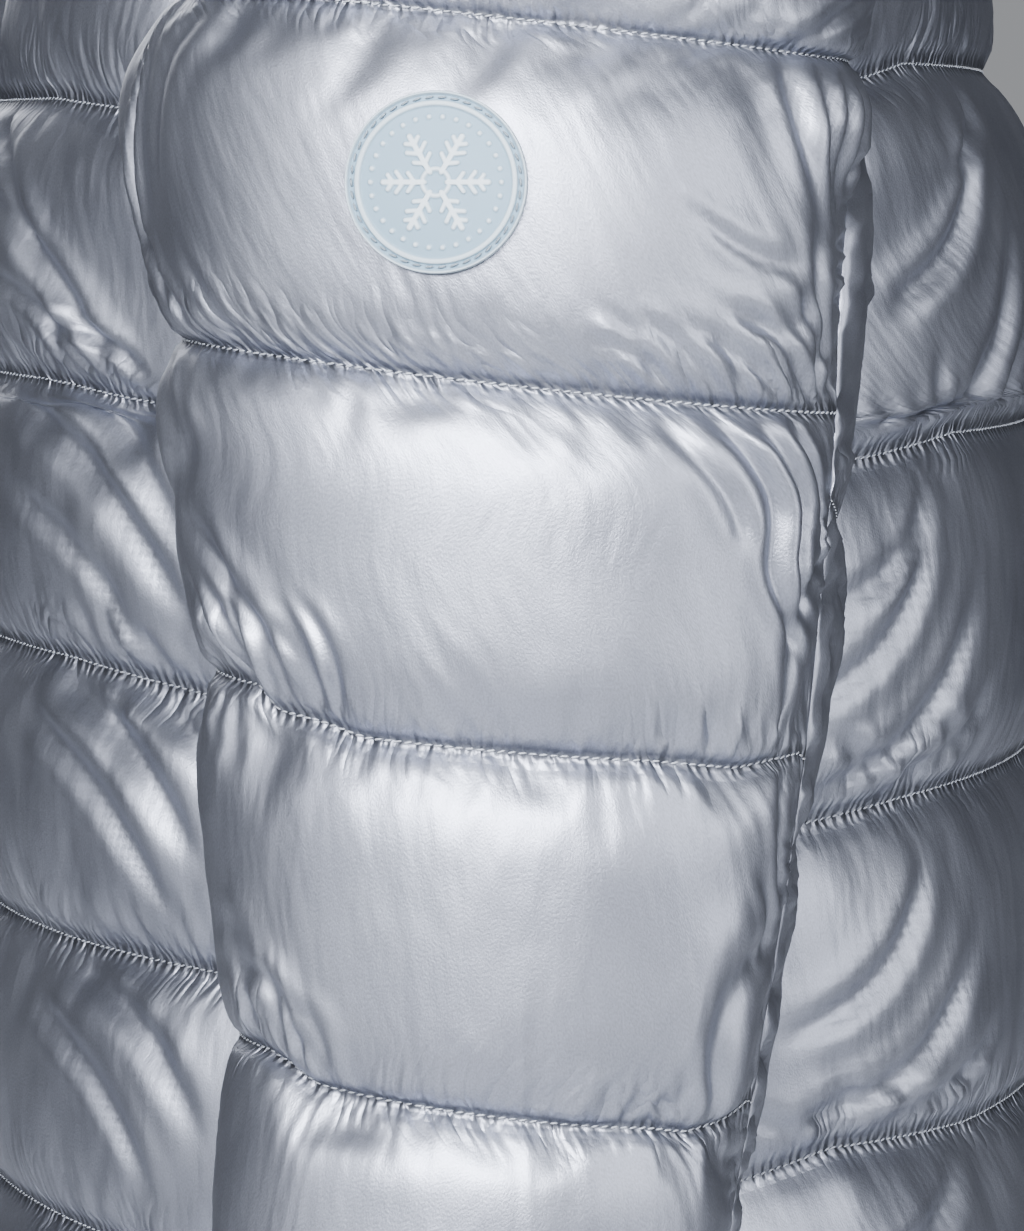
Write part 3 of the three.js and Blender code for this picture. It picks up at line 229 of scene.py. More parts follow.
# Soft folds, each from one place to another: channel and share across, half width and depth in millimetres
FOLD_COLUMNS = "channel across to_channel to_across width depth"
FOLDS = {
    "sleeve_top": table(
        FOLD_COLUMNS,
        (1.80, 0.745, 2.62, 0.925, 2.4, 2.2),
        (1.84, 0.785, 2.56, 0.950, 2.0, 2.0),
        (1.88, 0.830, 2.48, 0.965, 2.2, 1.9),
        (1.92, 0.880, 2.44, 0.985, 2.4, 1.9),
        (2.50, 0.77, 2.58, 0.885, 1.8, 1.2),
        (2.74, 0.80, 2.62, 0.90, 1.8, 1.1),
        (2.52, 0.90, 2.92, 0.975, 2.2, 1.8),
        (2.97, 0.935, 2.70, 0.80, 2.0, 1.5),
        (2.97, 0.955, 2.62, 0.865, 2.0, 1.6),
        (2.97, 0.89, 2.78, 0.745, 2.0, 1.2),
        (3.02, 0.79, 3.74, 0.925, 2.6, 2.3),
        (3.02, 0.84, 3.66, 0.950, 2.1, 1.8),
        (3.02, 0.89, 3.50, 0.970, 2.0, 1.7),
        (3.05, 0.73, 3.42, 0.82, 2.6, 0.9),
        (3.45, 0.955, 3.95, 0.90, 2.2, 1.6),
        (4.50, 0.905, 4.97, 0.845, 3.6, 2.8),
        (4.55, 0.93, 4.30, 0.87, 2.6, 1.4),
        (4.05, 0.93, 4.45, 0.955, 2.4, 1.6),
        (3.95, 0.27, 3.50, 0.17, 3.0, 1.6),
        (3.97, 0.31, 3.60, 0.23, 2.4, 1.4),
        (3.98, 0.36, 3.70, 0.31, 2.2, 1.1),
        (3.05, 0.17, 3.40, 0.24, 3.4, 1.1),
        (4.95, 0.24, 4.62, 0.17, 2.6, 1.3),
        (4.97, 0.29, 4.70, 0.24, 2.2, 1.2),
        (1.95, 0.245, 2.78, 0.205, 1.9, 3.4),
        (2.10, 0.30, 2.60, 0.27, 4.0, 0.9),
    ),
    "front": table(
        FOLD_COLUMNS,
        (2.08, 0.44, 2.60, 0.62, 3.4, 1.7),
        (2.28, 0.46, 2.92, 0.68, 3.4, 2.1),
        (2.62, 0.47, 2.97, 0.64, 2.6, 1.6),
        (2.78, 0.61, 2.88, 0.73, 2.4, 2.2),
        (3.05, 0.47, 3.52, 0.67, 3.2, 2.1),
        (3.12, 0.42, 3.84, 0.68, 3.6, 2.3),
        (3.45, 0.43, 3.94, 0.60, 3.2, 1.8),
        (3.04, 0.60, 3.30, 0.71, 2.4, 1.7),
        (4.05, 0.46, 4.62, 0.67, 3.4, 2.3),
        (4.22, 0.43, 4.90, 0.64, 3.4, 2.1),
        (4.04, 0.58, 4.34, 0.70, 2.6, 1.8),
        (5.05, 0.46, 5.56, 0.67, 3.4, 2.1),
        (5.26, 0.43, 5.84, 0.61, 3.2, 1.8),
        (3.10, 0.08, 3.70, 0.24, 7.0, 1.8),
        (5.20, 0.12, 5.75, 0.30, 7.0, 1.8),
        (7.15, 0.30, 7.80, 0.52, 8.0, 2.2),
        (9.15, 0.55, 9.80, 0.78, 8.0, 2.2),
    ),
    "back": table(
        FOLD_COLUMNS,
        (2.92, 0.81, 2.35, 0.73, 3.4, 2.4),
        (2.60, 0.86, 2.12, 0.79, 3.2, 2.4),
        (2.96, 0.77, 2.55, 0.70, 2.8, 1.7),
        (2.30, 0.83, 2.04, 0.76, 2.8, 1.7),
        (3.90, 0.83, 3.42, 0.72, 3.6, 2.5),
        (3.62, 0.84, 3.20, 0.76, 3.2, 2.2),
        (3.94, 0.78, 3.66, 0.70, 2.8, 1.8),
        (3.36, 0.83, 3.06, 0.75, 2.8, 1.7),
        (4.88, 0.84, 4.40, 0.72, 3.6, 2.6),
        (4.58, 0.85, 4.15, 0.76, 3.2, 2.3),
        (4.94, 0.79, 4.66, 0.70, 2.8, 1.9),
        (5.30, 0.85, 5.05, 0.73, 3.4, 2.2),
        (2.88, 0.20, 2.40, 0.29, 5.0, 2.6),
        (3.90, 0.18, 3.45, 0.29, 5.5, 2.8),
        (4.86, 0.17, 4.40, 0.28, 5.5, 2.8),
        (3.30, 0.44, 3.75, 0.55, 8.0, 1.6),
        (6.20, 0.62, 6.80, 0.48, 9.0, 1.8),
        (8.75, 0.35, 8.25, 0.50, 9.0, 1.8),
    ),
    "sleeve_under": table(
        FOLD_COLUMNS,
        (0.45, 0.96, 0.95, 0.80, 3.0, 1.6),
        (1.20, 0.95, 1.80, 0.80, 3.0, 1.6),
    ),
    "collar": table(
        FOLD_COLUMNS,
        (0.15, 0.20, 0.85, 0.24, 4.0, 0.9),
        (0.90, 0.62, 0.20, 0.66, 4.0, 0.9),
    ),
}

# Fans of creases on a quilt line: where they start, how many, their reach in channels and their lean
FAN_COLUMNS = "line across to_across count reach lean width depth"
FANS = {
    "sleeve_top": table(
        FAN_COLUMNS,
        (3, 0.15, 0.35, 9, 0.30, -0.05, 1.8, 1.1),
        (3, 0.73, 0.95, 9, 0.26, -0.09, 1.8, 1.4),
        (3, 0.46, 0.60, 4, 0.16, -0.01, 1.8, 0.6),
        (4, 0.19, 0.39, 10, 0.36, -0.05, 1.7, 1.1),
        (4, 0.79, 0.92, 5, 0.20, -0.03, 1.8, 1.2),
        (4, 0.08, 0.24, 5, -0.26, 0.02, 2.2, 0.8),
        (5, 0.20, 0.38, 8, 0.28, -0.05, 1.9, 1.3),
        (5, 0.66, 0.86, 6, 0.20, 0.02, 1.9, 1.0),
        (2, 0.30, 0.75, 8, 0.18, -0.02, 2.0, 0.9),
        (6, 0.15, 0.85, 11, 0.20, -0.02, 2.2, 1.0),
    ),
    "front": table(
        FAN_COLUMNS,
        (3, 0.52, 0.72, 7, 0.26, -0.05, 2.2, 1.2),
        (4, 0.50, 0.72, 8, 0.28, -0.05, 2.2, 1.3),
        (5, 0.50, 0.72, 8, 0.26, -0.05, 2.2, 1.2),
        (8, 0.10, 0.90, 12, 0.20, -0.02, 2.6, 1.0),
        (11, 0.10, 0.90, 12, 0.20, -0.02, 2.6, 1.0),
    ),
    "back": table(
        FAN_COLUMNS,
        (3, 0.70, 0.86, 8, 0.28, 0.04, 2.2, 1.2),
        (4, 0.70, 0.86, 8, 0.28, 0.04, 2.2, 1.3),
        (5, 0.70, 0.86, 8, 0.26, 0.04, 2.2, 1.2),
        (7, 0.10, 0.90, 14, 0.20, 0.02, 2.6, 1.0),
        (10, 0.10, 0.90, 14, 0.20, 0.02, 2.6, 1.0),
    ),
}

# Short rucks along a long seam: its edge of the piece, from and to which channel, how many, length and rise
RUCK_COLUMNS = "edge channel to_channel count reach rise width depth"
RUCKS = {
    "sleeve_under": table(
        RUCK_COLUMNS,
        (1, 0.04, 0.98, 9, 0.09, -0.10, 1.6, 1.9),
        (1, 1.04, 5.9, 40, 0.07, -0.08, 1.6, 1.6),
        (0, 0.04, 5.9, 44, 0.06, -0.06, 1.6, 1.3),
    ),
    "sleeve_top": table(
        RUCK_COLUMNS,
        (1, 2.05, 2.95, 9, 0.045, 0.10, 1.6, 1.2),
        (1, 3.05, 5.90, 22, 0.035, -0.10, 1.6, 1.1),
        (0, 2.05, 5.90, 26, 0.03, -0.08, 1.6, 1.0),
    ),
}

# Places where the wadding is bunched up: channel, share across, height and half lengths in millimetres
PUFFS = {
    "sleeve_top": table(
        "channel across height along up",
        (2.36, 0.155, 7.5, 13, 30),
        (3.35, 0.13, 2.0, 16, 22),
        (4.35, 0.12, 1.5, 16, 22),
        (2.25, 0.955, 1.8, 14, 42),
    ),
}


def value_at(columns, by, at, name):
    """Smooth value of one column of a table that is sorted along another."""
    keys, values = columns[by], columns[name]
    if keys[-1] < keys[0]:
        keys, values = keys[::-1], values[::-1]
    if at <= keys[0]:
        return float(values[0])
    if at >= keys[-1]:
        return float(values[-1])
    k = int(np.searchsorted(keys, at, side="right")) - 1
    k = min(k, len(keys) - 2)

    def slope(i):
        low, high = max(i - 1, 0), min(i + 1, len(keys) - 1)
        return (values[high] - values[low]) / (keys[high] - keys[low])

    span = keys[k + 1] - keys[k]
    t = (at - keys[k]) / span
    rounded = t * t * (3 - 2 * t)
    pull = t * (1 - t) ** 2 * span * slope(k) + t * t * (t - 1) * span * slope(k + 1)
    return float(values[k] + (values[k + 1] - values[k]) * rounded + pull)


def smooth(t):
    t = np.clip(t, 0, 1)
    return t * t * (3 - 2 * t)


def unit(v):
    v = np.asarray(v, float)
    return v / np.maximum(np.linalg.norm(v, axis=-1, keepdims=True), 1e-12)


def mirrored(points):
    return points * np.array([-1.0, 1.0, 1.0])


def line_reach(line):
    """Length of a line up to each of its points."""
    return np.concatenate([[0], np.cumsum(np.linalg.norm(np.diff(line, axis=0), axis=-1))])


def along_line(at, reach, values):
    """Values of a line's points, taken at the given lengths along it."""
    return np.stack([np.interp(at, reach, values[:, k]) for k in range(3)], -1)


def in_channel(channel):
    return channel - np.floor(channel)


def swing(at, span, rng):
    """A slow wave that starts anywhere."""
    return np.sin(TURN * (at / span + rng.uniform()))


def mesh_points(mesh):
    flat = np.empty(len(mesh.vertices) * 3)
    mesh.vertices.foreach_get("co", flat)
    return flat.reshape(-1, 3)


def channel_rise(share):
    return np.sqrt(np.clip(1 - np.abs(2 * share - 1) ** 2.3, 0, 1))


def edge_rise(distance):
    left = 1 - np.clip(distance / EDGE_SLOPE, 0, 1)
    return np.sqrt(1 - left * left)


def grid_normals(grid, inside):
    """Normals of a grid of points, pointing away from the points in "inside"."""
    up = np.gradient(grid, axis=0)
    along = np.gradient(grid, axis=1)
    normals = unit(np.cross(along, up))
    facing = np.sum(normals * (grid - inside), axis=-1, keepdims=True)
    return np.where(facing < 0, -normals, normals)


def shared_seam(points, normals, towards):
    """Unit directions across a seam, from the first piece to the second."""
    along = np.gradient(points, axis=0)
    across = unit(np.cross(normals, along))
    return np.where(across @ np.asarray(towards, float)[:, None] < 0, -across, across)


def armhole_point(face, z):
    sign = -1 if face == "front" else 1
    x = value_at(ARMHOLE_X, "z", z, "x")
    level = min(z, ARMHOLE_TOP_ROW)
    share = value_at(ARMHOLE_X, "z", level, "x") / value_at(TORSO, "z", level, "half_width")
    depth = value_at(TORSO, "z", level, face) * math.sqrt(max(0.0, 1 - share * share))
    over = np.clip((z - ARMHOLE_TOP_ROW) / (ARMHOLE_TOP_Z - ARMHOLE_TOP_ROW), 0, 1)
    return np.array([x, sign * depth * math.sqrt(1 - over * over), z])


def armhole_normal(face, point):
    width = value_at(TORSO, "z", point[2], "half_width")
    depth = value_at(TORSO, "z", point[2], face)
    lift = float(smooth((point[2] - ARMHOLE_TOP_ROW) / (ARMHOLE_TOP_Z - ARMHOLE_TOP_ROW)))
    body = unit([point[0] / width ** 2, point[1] / depth ** 2, 0])
    body = unit(body + (np.array([0.35, 0, 0.94]) - body) * lift)
    middle_z = (ARMHOLE_TOP_Z + UNDERARM_Z) / 2
    arm = unit([0, point[1] / 75 ** 2, (point[2] - middle_z) / 102 ** 2])
    return unit(body + arm)


def armhole_seam(face):
    """Points, normals and directions across of the armhole, from its top down to the underarm."""
    top = np.array([ARMHOLE_TOP_X, 0, ARMHOLE_TOP_Z])
    points = np.array([top] + [armhole_point(face, z) for z in ARMHOLE_ROWS[face]])
    normals = np.array([armhole_normal(face, p) for p in points])
    normals[[0, -1], 1] = 0
    normals = unit(normals)
    across = shared_seam(points, normals, (1, 0, 0.2))
    for end in (0, -1):
        way = unit(np.cross((0, 1, 0), normals[end]))
        across[end] = way if way[0] > 0 else -way
    return {"point": points, "normal": normals, "across": across}


ARMHOLE = {face: armhole_seam(face) for face in ("front", "back")}


def beside_seam(seam, node):
    """A point, or several, of a seam on the edge of the sleeve."""
    return seam["point"][node] + seam["across"][node] * SEAM_GAP / 2


def neck_points(turn):
    front = np.cos(turn)
    depth = np.where(front > 0, NECK["front"], NECK["back"])
    drop = np.where(front > 0, -NECK["front_drop"] * np.abs(front) ** 1.3, -NECK["back_rise"] * front)
    return np.stack([NECK["half_width"] * np.sin(turn), -depth * front, NECK["side_z"] + drop], -1)


def neck_seam(turn):
    """Points, normals and directions across of the neck seam, at turns from the middle of the front."""
    out = np.stack([np.sin(turn), -np.cos(turn), np.zeros_like(turn)], -1)
    normals = unit(out * 0.8 + np.array([0, 0, 0.6]))
    along = neck_points(turn + 0.01) - neck_points(turn - 0.01)
    across = unit(np.cross(normals, along))
    across = np.where(across[:, 2:] < 0, -across, across)
    return {"point": neck_points(turn), "normal": normals, "across": across}


def neck_turns(face, share):
    """Turn round the neck for a share of the way from the zip, or the middle of the back, to the shoulder."""
    start = math.asin(ZIP_OPENING / NECK["half_width"]) if face == "front" else math.pi
    return start + (math.pi / 2 - start) * share


def lines_above_hem(lines):
    return [z for z in lines if z > HEM_Z + 40]


def channel_place(stops, z):
    """Channel that a height lies in, counted down from the first line, and the share of the way across it."""
    for k in range(len(stops) - 1):
        if stops[k] >= z >= stops[k + 1]:
            return k + (stops[k] - z) / (stops[k] - stops[k + 1])
    return 0.0


def torso_panel(face, cells):
    """Base of a front, or of the left half of the back, row by row from the hem to the shoulder and neck."""
    sign = -1 if face == "front" else 1
    lines = lines_above_hem(FRONT_LINES if face == "front" else BACK_LINES)
    start = ZIP_OPENING if face == "front" else 0.0
    neck_share = NECK_SHARE[face]
    neck_cells = round(cells * neck_share)
    u = np.concatenate([
        np.linspace(0, neck_share, neck_cells + 1),
        np.linspace(neck_share, 1, cells - neck_cells + 1)[1:],
    ])
    seam = ARMHOLE[face]
    stops = lines + [HEM_Z]
    levels = [(HEM_Z, None)]
    for high, low in zip(stops[:-1], stops[1:]):
        for part in range(ROWS_PER_CHANNEL):
            z = high + (low - high) * part / ROWS_PER_CHANNEL
            if z < UNDERARM_Z:
                levels.append((z, None))
    rows_z = ARMHOLE_ROWS[face]
    levels += [(z, k + 1) for k, z in enumerate(rows_z) if z <= lines[0]]
    levels.sort(key=lambda level: level[0])
    base, nodes, channel = [], [], []
    for z, node in levels:
        width, depth = value_at(TORSO, "z", z, "half_width"), value_at(TORSO, "z", z, face)
        first = math.asin(start / width)
        last = math.pi / 2 if node is None else math.asin(min(1, seam["point"][node][0] / width))
        turn = first + (last - first) * u
        dip = LINE_DIP * u ** 2 * smooth((UNDERARM_Z - z) / 65) * (1 if z > HEM_Z else 0)
        points = np.stack([width * np.sin(turn), sign * depth * np.cos(turn), z - dip], -1)
        if node is not None:
            end = np.array([width * math.sin(last), sign * depth * math.cos(last), z])
            points += (seam["point"][node] - end) * (u ** 3)[:, None]
        base.append(points)
        nodes.append(node)
        channel.append(1 + channel_place(stops, z))
    bottom = base[-1]
    over = int(np.sum(rows_z > lines[0])) + 1
    in_neck = u <= neck_share + 1e-9
    neck = neck_seam(neck_turns(face, u[in_neck] / neck_share))
    shoulder = np.array([ARMHOLE_TOP_X, 0, ARMHOLE_TOP_Z])
    corner = neck["point"][-1]
    on_seam = ((u[~in_neck] - neck_share) / (1 - neck_share))[:, None]
    edge = np.concatenate([neck["point"], corner + (shoulder - corner) * on_seam])
    bend = bottom + (edge - bottom) * np.array([0.5, 0.22, 0.72])
    for k in range(1, over + 1):
        t = k / over
        points = (1 - t) ** 2 * bottom + 2 * t * (1 - t) * bend + t * t * edge
        points[-1] = seam["point"][over - k]
        base.append(points)
        nodes.append(over - k)
        channel.append(1 - t)
    base = np.array(base)
    inside = base * np.array([0.0, 0.0, 1.0]) - np.array([0, 0, 40.0])
    normals = grid_normals(base, inside)
    normals[:, 0, 0] = 0
    top = len(base) - 1
    normals[top] = np.concatenate([neck["normal"], np.tile([0.35, 0, 0.94], (len(on_seam), 1))])
    base[top, : len(neck["point"])] -= neck["across"] * SEAM_GAP / 2
    base[top, len(neck["point"]) - 1:, 1] = sign * SEAM_GAP / 2
    for r, node in enumerate(nodes):
        if node is None:
            normals[r, -1, 1] = 0
            base[r, -1, 1] = sign * SEAM_GAP / 2
        else:
            normals[r, -1] = seam["normal"][node]
            base[r, -1] = seam["point"][node] - seam["across"][node] * SEAM_GAP / 2
    z_rows = np.array([level[0] for level in levels] + [ARMHOLE_TOP_Z] * over)
    length = np.sum(np.linalg.norm(np.diff(base, axis=1), axis=-1), axis=1)[:, None]
    to_side = (1 - u)[None, :] * length
    beside_arm = ((z_rows < UNDERARM_Z + 60) & (z_rows > CUFF_Z - 20))[:, None]
    hold = np.where(beside_arm, 1 - 0.55 * smooth(1.6 - to_side / 70), 1.0)
    return {"base": base, "normal": unit(normals), "channel": np.array(channel), "hold": hold}


def whole_back(half):
    """The back from side seam to side seam, from its left half."""
    def join(grid, flip):
        other = grid[:, :0:-1]
        return np.concatenate([mirrored(other) if flip else other, grid], axis=1)

    return {
        "base": join(half["base"], True),
        "normal": join(half["normal"], True),
        "channel": half["channel"],
        "hold": join(half["hold"], False),
    }


def collar_panel(cells):
    """Base of the stand collar, from the zip on the right round the back to the zip on the left."""
    half = cells // 2
    start = math.asin(ZIP_OPENING / NECK["half_width"])
    turn = np.linspace(math.pi, start, half + 1)
    seam = neck_seam(turn)
    low = seam["point"] + seam["across"] * SEAM_GAP / 2
    front = np.cos(turn)
    depth = np.where(front > 0, COLLAR_TOP["front"], COLLAR_TOP["back"])
    height = COLLAR_TOP["back_z"] + (COLLAR_TOP["front_z"] - COLLAR_TOP["back_z"]) * (1 + front) / 2
    high = np.stack([COLLAR_TOP["half_width"] * np.sin(turn), -depth * front, height], -1)
    high[-1, 0] = ZIP_OPENING
    rows = [low + (high - low) * share for share in np.linspace(0, 1, COLLAR_ROWS)]
    left = np.array(rows)
    left[:, -1, 0] = ZIP_OPENING
    base = np.concatenate([mirrored(left[:, :0:-1]), left], axis=1)
    inside = base * np.array([0.0, 0.0, 1.0])
    normals = grid_normals(base, inside)
    normals[0] = np.concatenate([mirrored(seam["normal"][:0:-1]), seam["normal"]])
    normals[:, [0, -1], 0] = 0
    return {
        "base": base,
        "normal": unit(normals),
        "channel": np.linspace(0, 2, COLLAR_ROWS),
        "hold": np.ones(base.shape[:2]),
    }


def sleeve_levels():
    """Heights of the sleeve's rows, with the armhole row that each one ends on."""
    levels = [(z, k + 1) for k, z in enumerate(ARMHOLE_ROWS["sleeve"])]
    levels += [(-275, None), (-295, None)]
    stops = [z for z in SLEEVE_LINES if z < UNDERARM_Z] + [CUFF_Z]
    for high, low in zip(stops[:-1], stops[1:]):
        levels += [(high + (low - high) * part / ROWS_PER_CHANNEL, None) for part in range(ROWS_PER_CHANNEL)]
    return levels + [(CUFF_Z, None)]


LEVELS = sleeve_levels()


def slice_points(row, along):
    """Slice round the arm, from -1 beside the body in front over 0 on the outer side to 1 behind."""
    z, node = LEVELS[row]
    along = np.atleast_1d(np.asarray(along, float))
    side = np.where(along < 0, -1.0, 1.0)
    share = 1 - np.abs(along)
    outer, inner = value_at(SLEEVE, "z", z, "outer"), value_at(SLEEVE, "z", z, "inner")
    depth, middle_y = value_at(SLEEVE, "z", z, "half_depth"), value_at(SLEEVE, "z", z, "middle_y")
    if node is None:
        end = np.tile([inner, middle_y, z], (len(along), 1))
    else:
        ends = {
            s: beside_seam(ARMHOLE[f], node)
            for s, f in ((-1, "front"), (1, "back"))
        }
        end = np.where((side < 0)[:, None], ends[-1], ends[1])
    middle_x = end[:, 0] + (outer - end[:, 0]) * (0.5 if node is None else 0.55)
    back = np.clip(1 - share / SIDE_SHARE, 0, 1)
    end_y = np.abs(end[:, 1] - middle_y)
    if node is None:
        roundness = 1.35 + 0.65 * float(smooth((UNDERARM_Z - z) / 60))
        side_x = middle_x + (end[:, 0] - middle_x) * np.sin(back * math.pi / 2)
        bow = np.clip(np.cos(back * math.pi / 2), 0, 1) ** (2 / roundness)
    else:
        side_x = middle_x + (end[:, 0] - middle_x) * back
        bow = (1 - back ** 2) ** (1 / 1.35)
    side_y = middle_y + side * (end_y + (depth - end_y) * bow)
    turn = np.clip((share - SIDE_SHARE) / (1 - SIDE_SHARE), 0, 1) * math.pi / 2
    outer_x = middle_x + (outer - middle_x) * np.sin(turn)
    outer_y = middle_y + side * depth * np.cos(turn)
    beside = share < SIDE_SHARE
    x, y = np.where(beside, side_x, outer_x), np.where(beside, side_y, outer_y)
    slope = RING_SLOPE * float(smooth((ARMHOLE_TOP_Z - z) / 100))
    plane = z - slope * (y - middle_y)
    blend = smooth(share / 0.35) if node is not None else 1.0
    points = np.stack([x, y, end[:, 2] + (plane - end[:, 2]) * blend], -1)
    radial = np.stack([(x - middle_x) / (outer - middle_x) ** 2, (y - middle_y) / depth ** 2, x * 0], -1)
    return points, unit(radial)


def long_seams():
    seams = {}
    for face, side in (("front", -1), ("back", 1)):
        points, normals, shares = [], [], []
        for row in range(len(LEVELS)):
            share = value_at(SLEEVE_SEAMS, "row", row, face)
            p, n = slice_points(row, side * (1 - share))
            points.append(p[0])
            normals.append(n[0])
            shares.append(share)
        points, normals = np.array(points), np.array(normals)
        across = shared_seam(points, normals, (1, 0, 0))
        for row, share in enumerate(shares):
            ahead = slice_points(row, side * (1 - min(1, share + 0.05)))[0][0]
            if across[row] @ (ahead - points[row]) < 0:
                across[row] *= -1
        seams[face] = {"point": points, "normal": normals, "across": across, "share": shares}
    return seams


LONG = long_seams()


def sleeve_channel(z):
    return channel_place([ARMHOLE_TOP_Z] + SLEEVE_LINES + [CUFF_Z], z)


def top_sleeve_panel(cells):
    """Base of the top sleeve, from its point at the top of the armhole down to the cuff."""
    part = np.linspace(0, 1, cells + 1)
    reach = np.abs(2 * part - 1)[:, None]
    in_front = (part < 0.5)[:, None]
    front, back = ARMHOLE["front"], ARMHOLE["back"]
    base, normals, channel = [], [], []
    for row, (z, node) in enumerate(LEVELS):
        high = row <= UNDER_FIRST_ROW
        first = (0 if high else LONG["front"]["share"][row]) - 1
        last = 1 - (0 if high else LONG["back"]["share"][row])
        points, _ = slice_points(row, first + (last - first) * part)
        if row == 0:
            top = beside_seam(front, 0)
            points = top + (np.where(in_front, beside_seam(front, 1), beside_seam(back, 1)) - top) * reach
        for c, face in ((0, "front"), (-1, "back")):
            seam, k = (ARMHOLE[face], node) if high else (LONG[face], row)
            points[c] = beside_seam(seam, k)
        base.append(points)
        channel.append(sleeve_channel(z))
    base = np.array(base)
    middle = np.array([[255, value_at(SLEEVE, "z", z, "middle_y"), min(z, -120)] for z, _ in LEVELS])
    normals = grid_normals(base, middle[:, None, :])
    for row, (_, node) in enumerate(LEVELS):
        for c, face in ((0, "front"), (-1, "back")):
            seam, k = (ARMHOLE[face], node) if row <= UNDER_FIRST_ROW else (LONG[face], row)
            normals[row, c] = seam["normal"][k]
    corner = np.where(in_front, front["normal"][1], back["normal"][1])
    normals[0] = unit(corner * reach + front["normal"][0] * (1 - reach))
    hold = 0.4 + 0.45 * smooth(np.minimum(part, 1 - part) / 0.16) + 0.15 * np.sin(math.pi * part) ** 2
    head = 0.3 + 0.7 * smooth(np.array(channel) / 1.2)
    return {
        "base": base,
        "normal": unit(normals),
        "channel": np.array(channel),
        "hold": head[:, None] * hold,
    }


def under_sleeve_panel(cells):
    """Base of the under sleeve: its top edge is the low part of the armhole, and lower down it is plain."""
    first = UNDER_FIRST_ROW + 1
    seam_f, seam_b = ARMHOLE["front"], ARMHOLE["back"]
    edge = {
        key: np.concatenate([seam_f[key][first:], seam_b[key][first:-1][::-1]])
        for key in ("point", "normal", "across")
    }
    middle = len(seam_f["point"][first:]) - 1
    corners = edge["point"] + edge["across"] * SEAM_GAP / 2
    reach = line_reach(corners)
    from_middle = reach - reach[middle]
    shares = from_middle / np.where(from_middle <= 0, reach[middle], reach[-1] - reach[middle])
    want = np.linspace(-1, 1, cells + 1)
    top = along_line(want, shares, corners)
    top_normal = unit(along_line(want, shares, edge["normal"]))

    def seam_point(face, row):
        if row == UNDER_FIRST_ROW:
            return top[0] if face == "front" else top[-1]
        return LONG[face]["point"][row] - LONG[face]["across"][row] * SEAM_GAP / 2

    def ring(row):
        limit = np.where(want < 0, LONG["front"]["share"][row], LONG["back"]["share"][row])
        along = np.where(want < 0, -1.0, 1.0) * (1 - np.abs(want) * limit)
        points, _ = slice_points(row, along)
        points[0], points[-1] = seam_point("front", row), seam_point("back", row)
        return points

    rows = range(UNDER_FIRST_ROW, len(LEVELS))
    steps = FIRST_FULL_RING - UNDER_FIRST_ROW
    full = ring(FIRST_FULL_RING)
    over = ((want + 1) / 2)[:, None]
    base, channel = [], []
    for row in rows:
        k = row - UNDER_FIRST_ROW
        if k >= steps:
            points = ring(row)
        else:
            down = k / steps
            points = top + (full - top) * down
            lean_f = seam_point("front", row) - points[0]
            lean_b = seam_point("back", row) - points[-1]
            points = points + lean_f * (1 - over) ** 3 + lean_b * over ** 3
        base.append(points)
        lines = [LEVELS[UNDER_FIRST_ROW][0]] + [line - 20 for line in SLEEVE_LINES[2:]] + [CUFF_Z]
        channel.append(channel_place(lines, LEVELS[row][0]))
    base = np.array(base)
    heights = [LEVELS[row][0] for row in rows]
    middle_line = np.array([[275, value_at(SLEEVE, "z", z, "middle_y"), z + 20] for z in heights])
    normals = grid_normals(base, middle_line[:, None, :])
    for k, row in enumerate(rows):
        normals[k, 0], normals[k, -1] = LONG["front"]["normal"][row], LONG["back"]["normal"][row]
    normals[0] = top_normal
    hold = 0.75 * (1 - 0.6 * np.sin(math.pi * (want + 1) / 2))
    return {
        "base": base,
        "normal": unit(normals),
        "channel": np.array(channel),
        "hold": np.tile(hold, (len(base), 1)),
    }


def refine(values, keys, counts):
    """Smooth values between the rows of an array, with the given number of steps in each interval."""
    slopes = np.gradient(values, keys, axis=0)
    parts = []
    for k, count in enumerate(counts):
        span = keys[k + 1] - keys[k]
        for t in np.arange(count) / count:
            rounded = t * t * (3 - 2 * t)
            parts.append(values[k] + (values[k + 1] - values[k]) * rounded
                         + t * (1 - t) ** 2 * span * slopes[k] + t * t * (t - 1) * span * slopes[k + 1])
    parts.append(values[-1])
    return np.array(parts)


def refined_panel(panel, cell, name):
    """A panel with rows about one cell apart."""
    base = panel["base"]
    gaps = np.mean(np.linalg.norm(np.diff(base, axis=0), axis=-1), axis=1)
    keys = np.concatenate([[0], np.cumsum(gaps)])
    counts = [max(1, round(gap / cell)) for gap in gaps]
    fine = {part: refine(panel[part], keys, counts) for part in ("base", "normal", "hold")}
    fine["normal"] = unit(fine["normal"])
    straight = [np.linspace(panel["channel"][k], panel["channel"][k + 1], n, endpoint=False)
                for k, n in enumerate(counts)]
    fine["channel"] = np.concatenate(straight + [[panel["channel"][-1]]])
    if name in WANDER:
        up = unit(np.gradient(fine["base"], axis=0))
        up = np.where(up[..., 2:] < 0, -up, up)
        fine["base"] = fine["base"] + up * wander(WANDER[name], fine)[..., None]
    return fine


def wander(lines, panel):
    """How far each point of a panel rises with the quilt lines on both sides of it, in millimetres."""
    rows, columns = panel["base"].shape[:2]
    across = np.linspace(0, 1, columns)
    still = np.zeros(columns)

    def rise(line):
        return np.interp(across, lines[line]["across"], lines[line]["rise"]) if line in lines else still

    shift = np.zeros((rows, columns))
    for r, channel in enumerate(panel["channel"]):
        low = math.floor(channel + 1e-9)
        share = channel - low
        shift[r] = rise(low) * (1 - share) + rise(low + 1) * share
    return shift


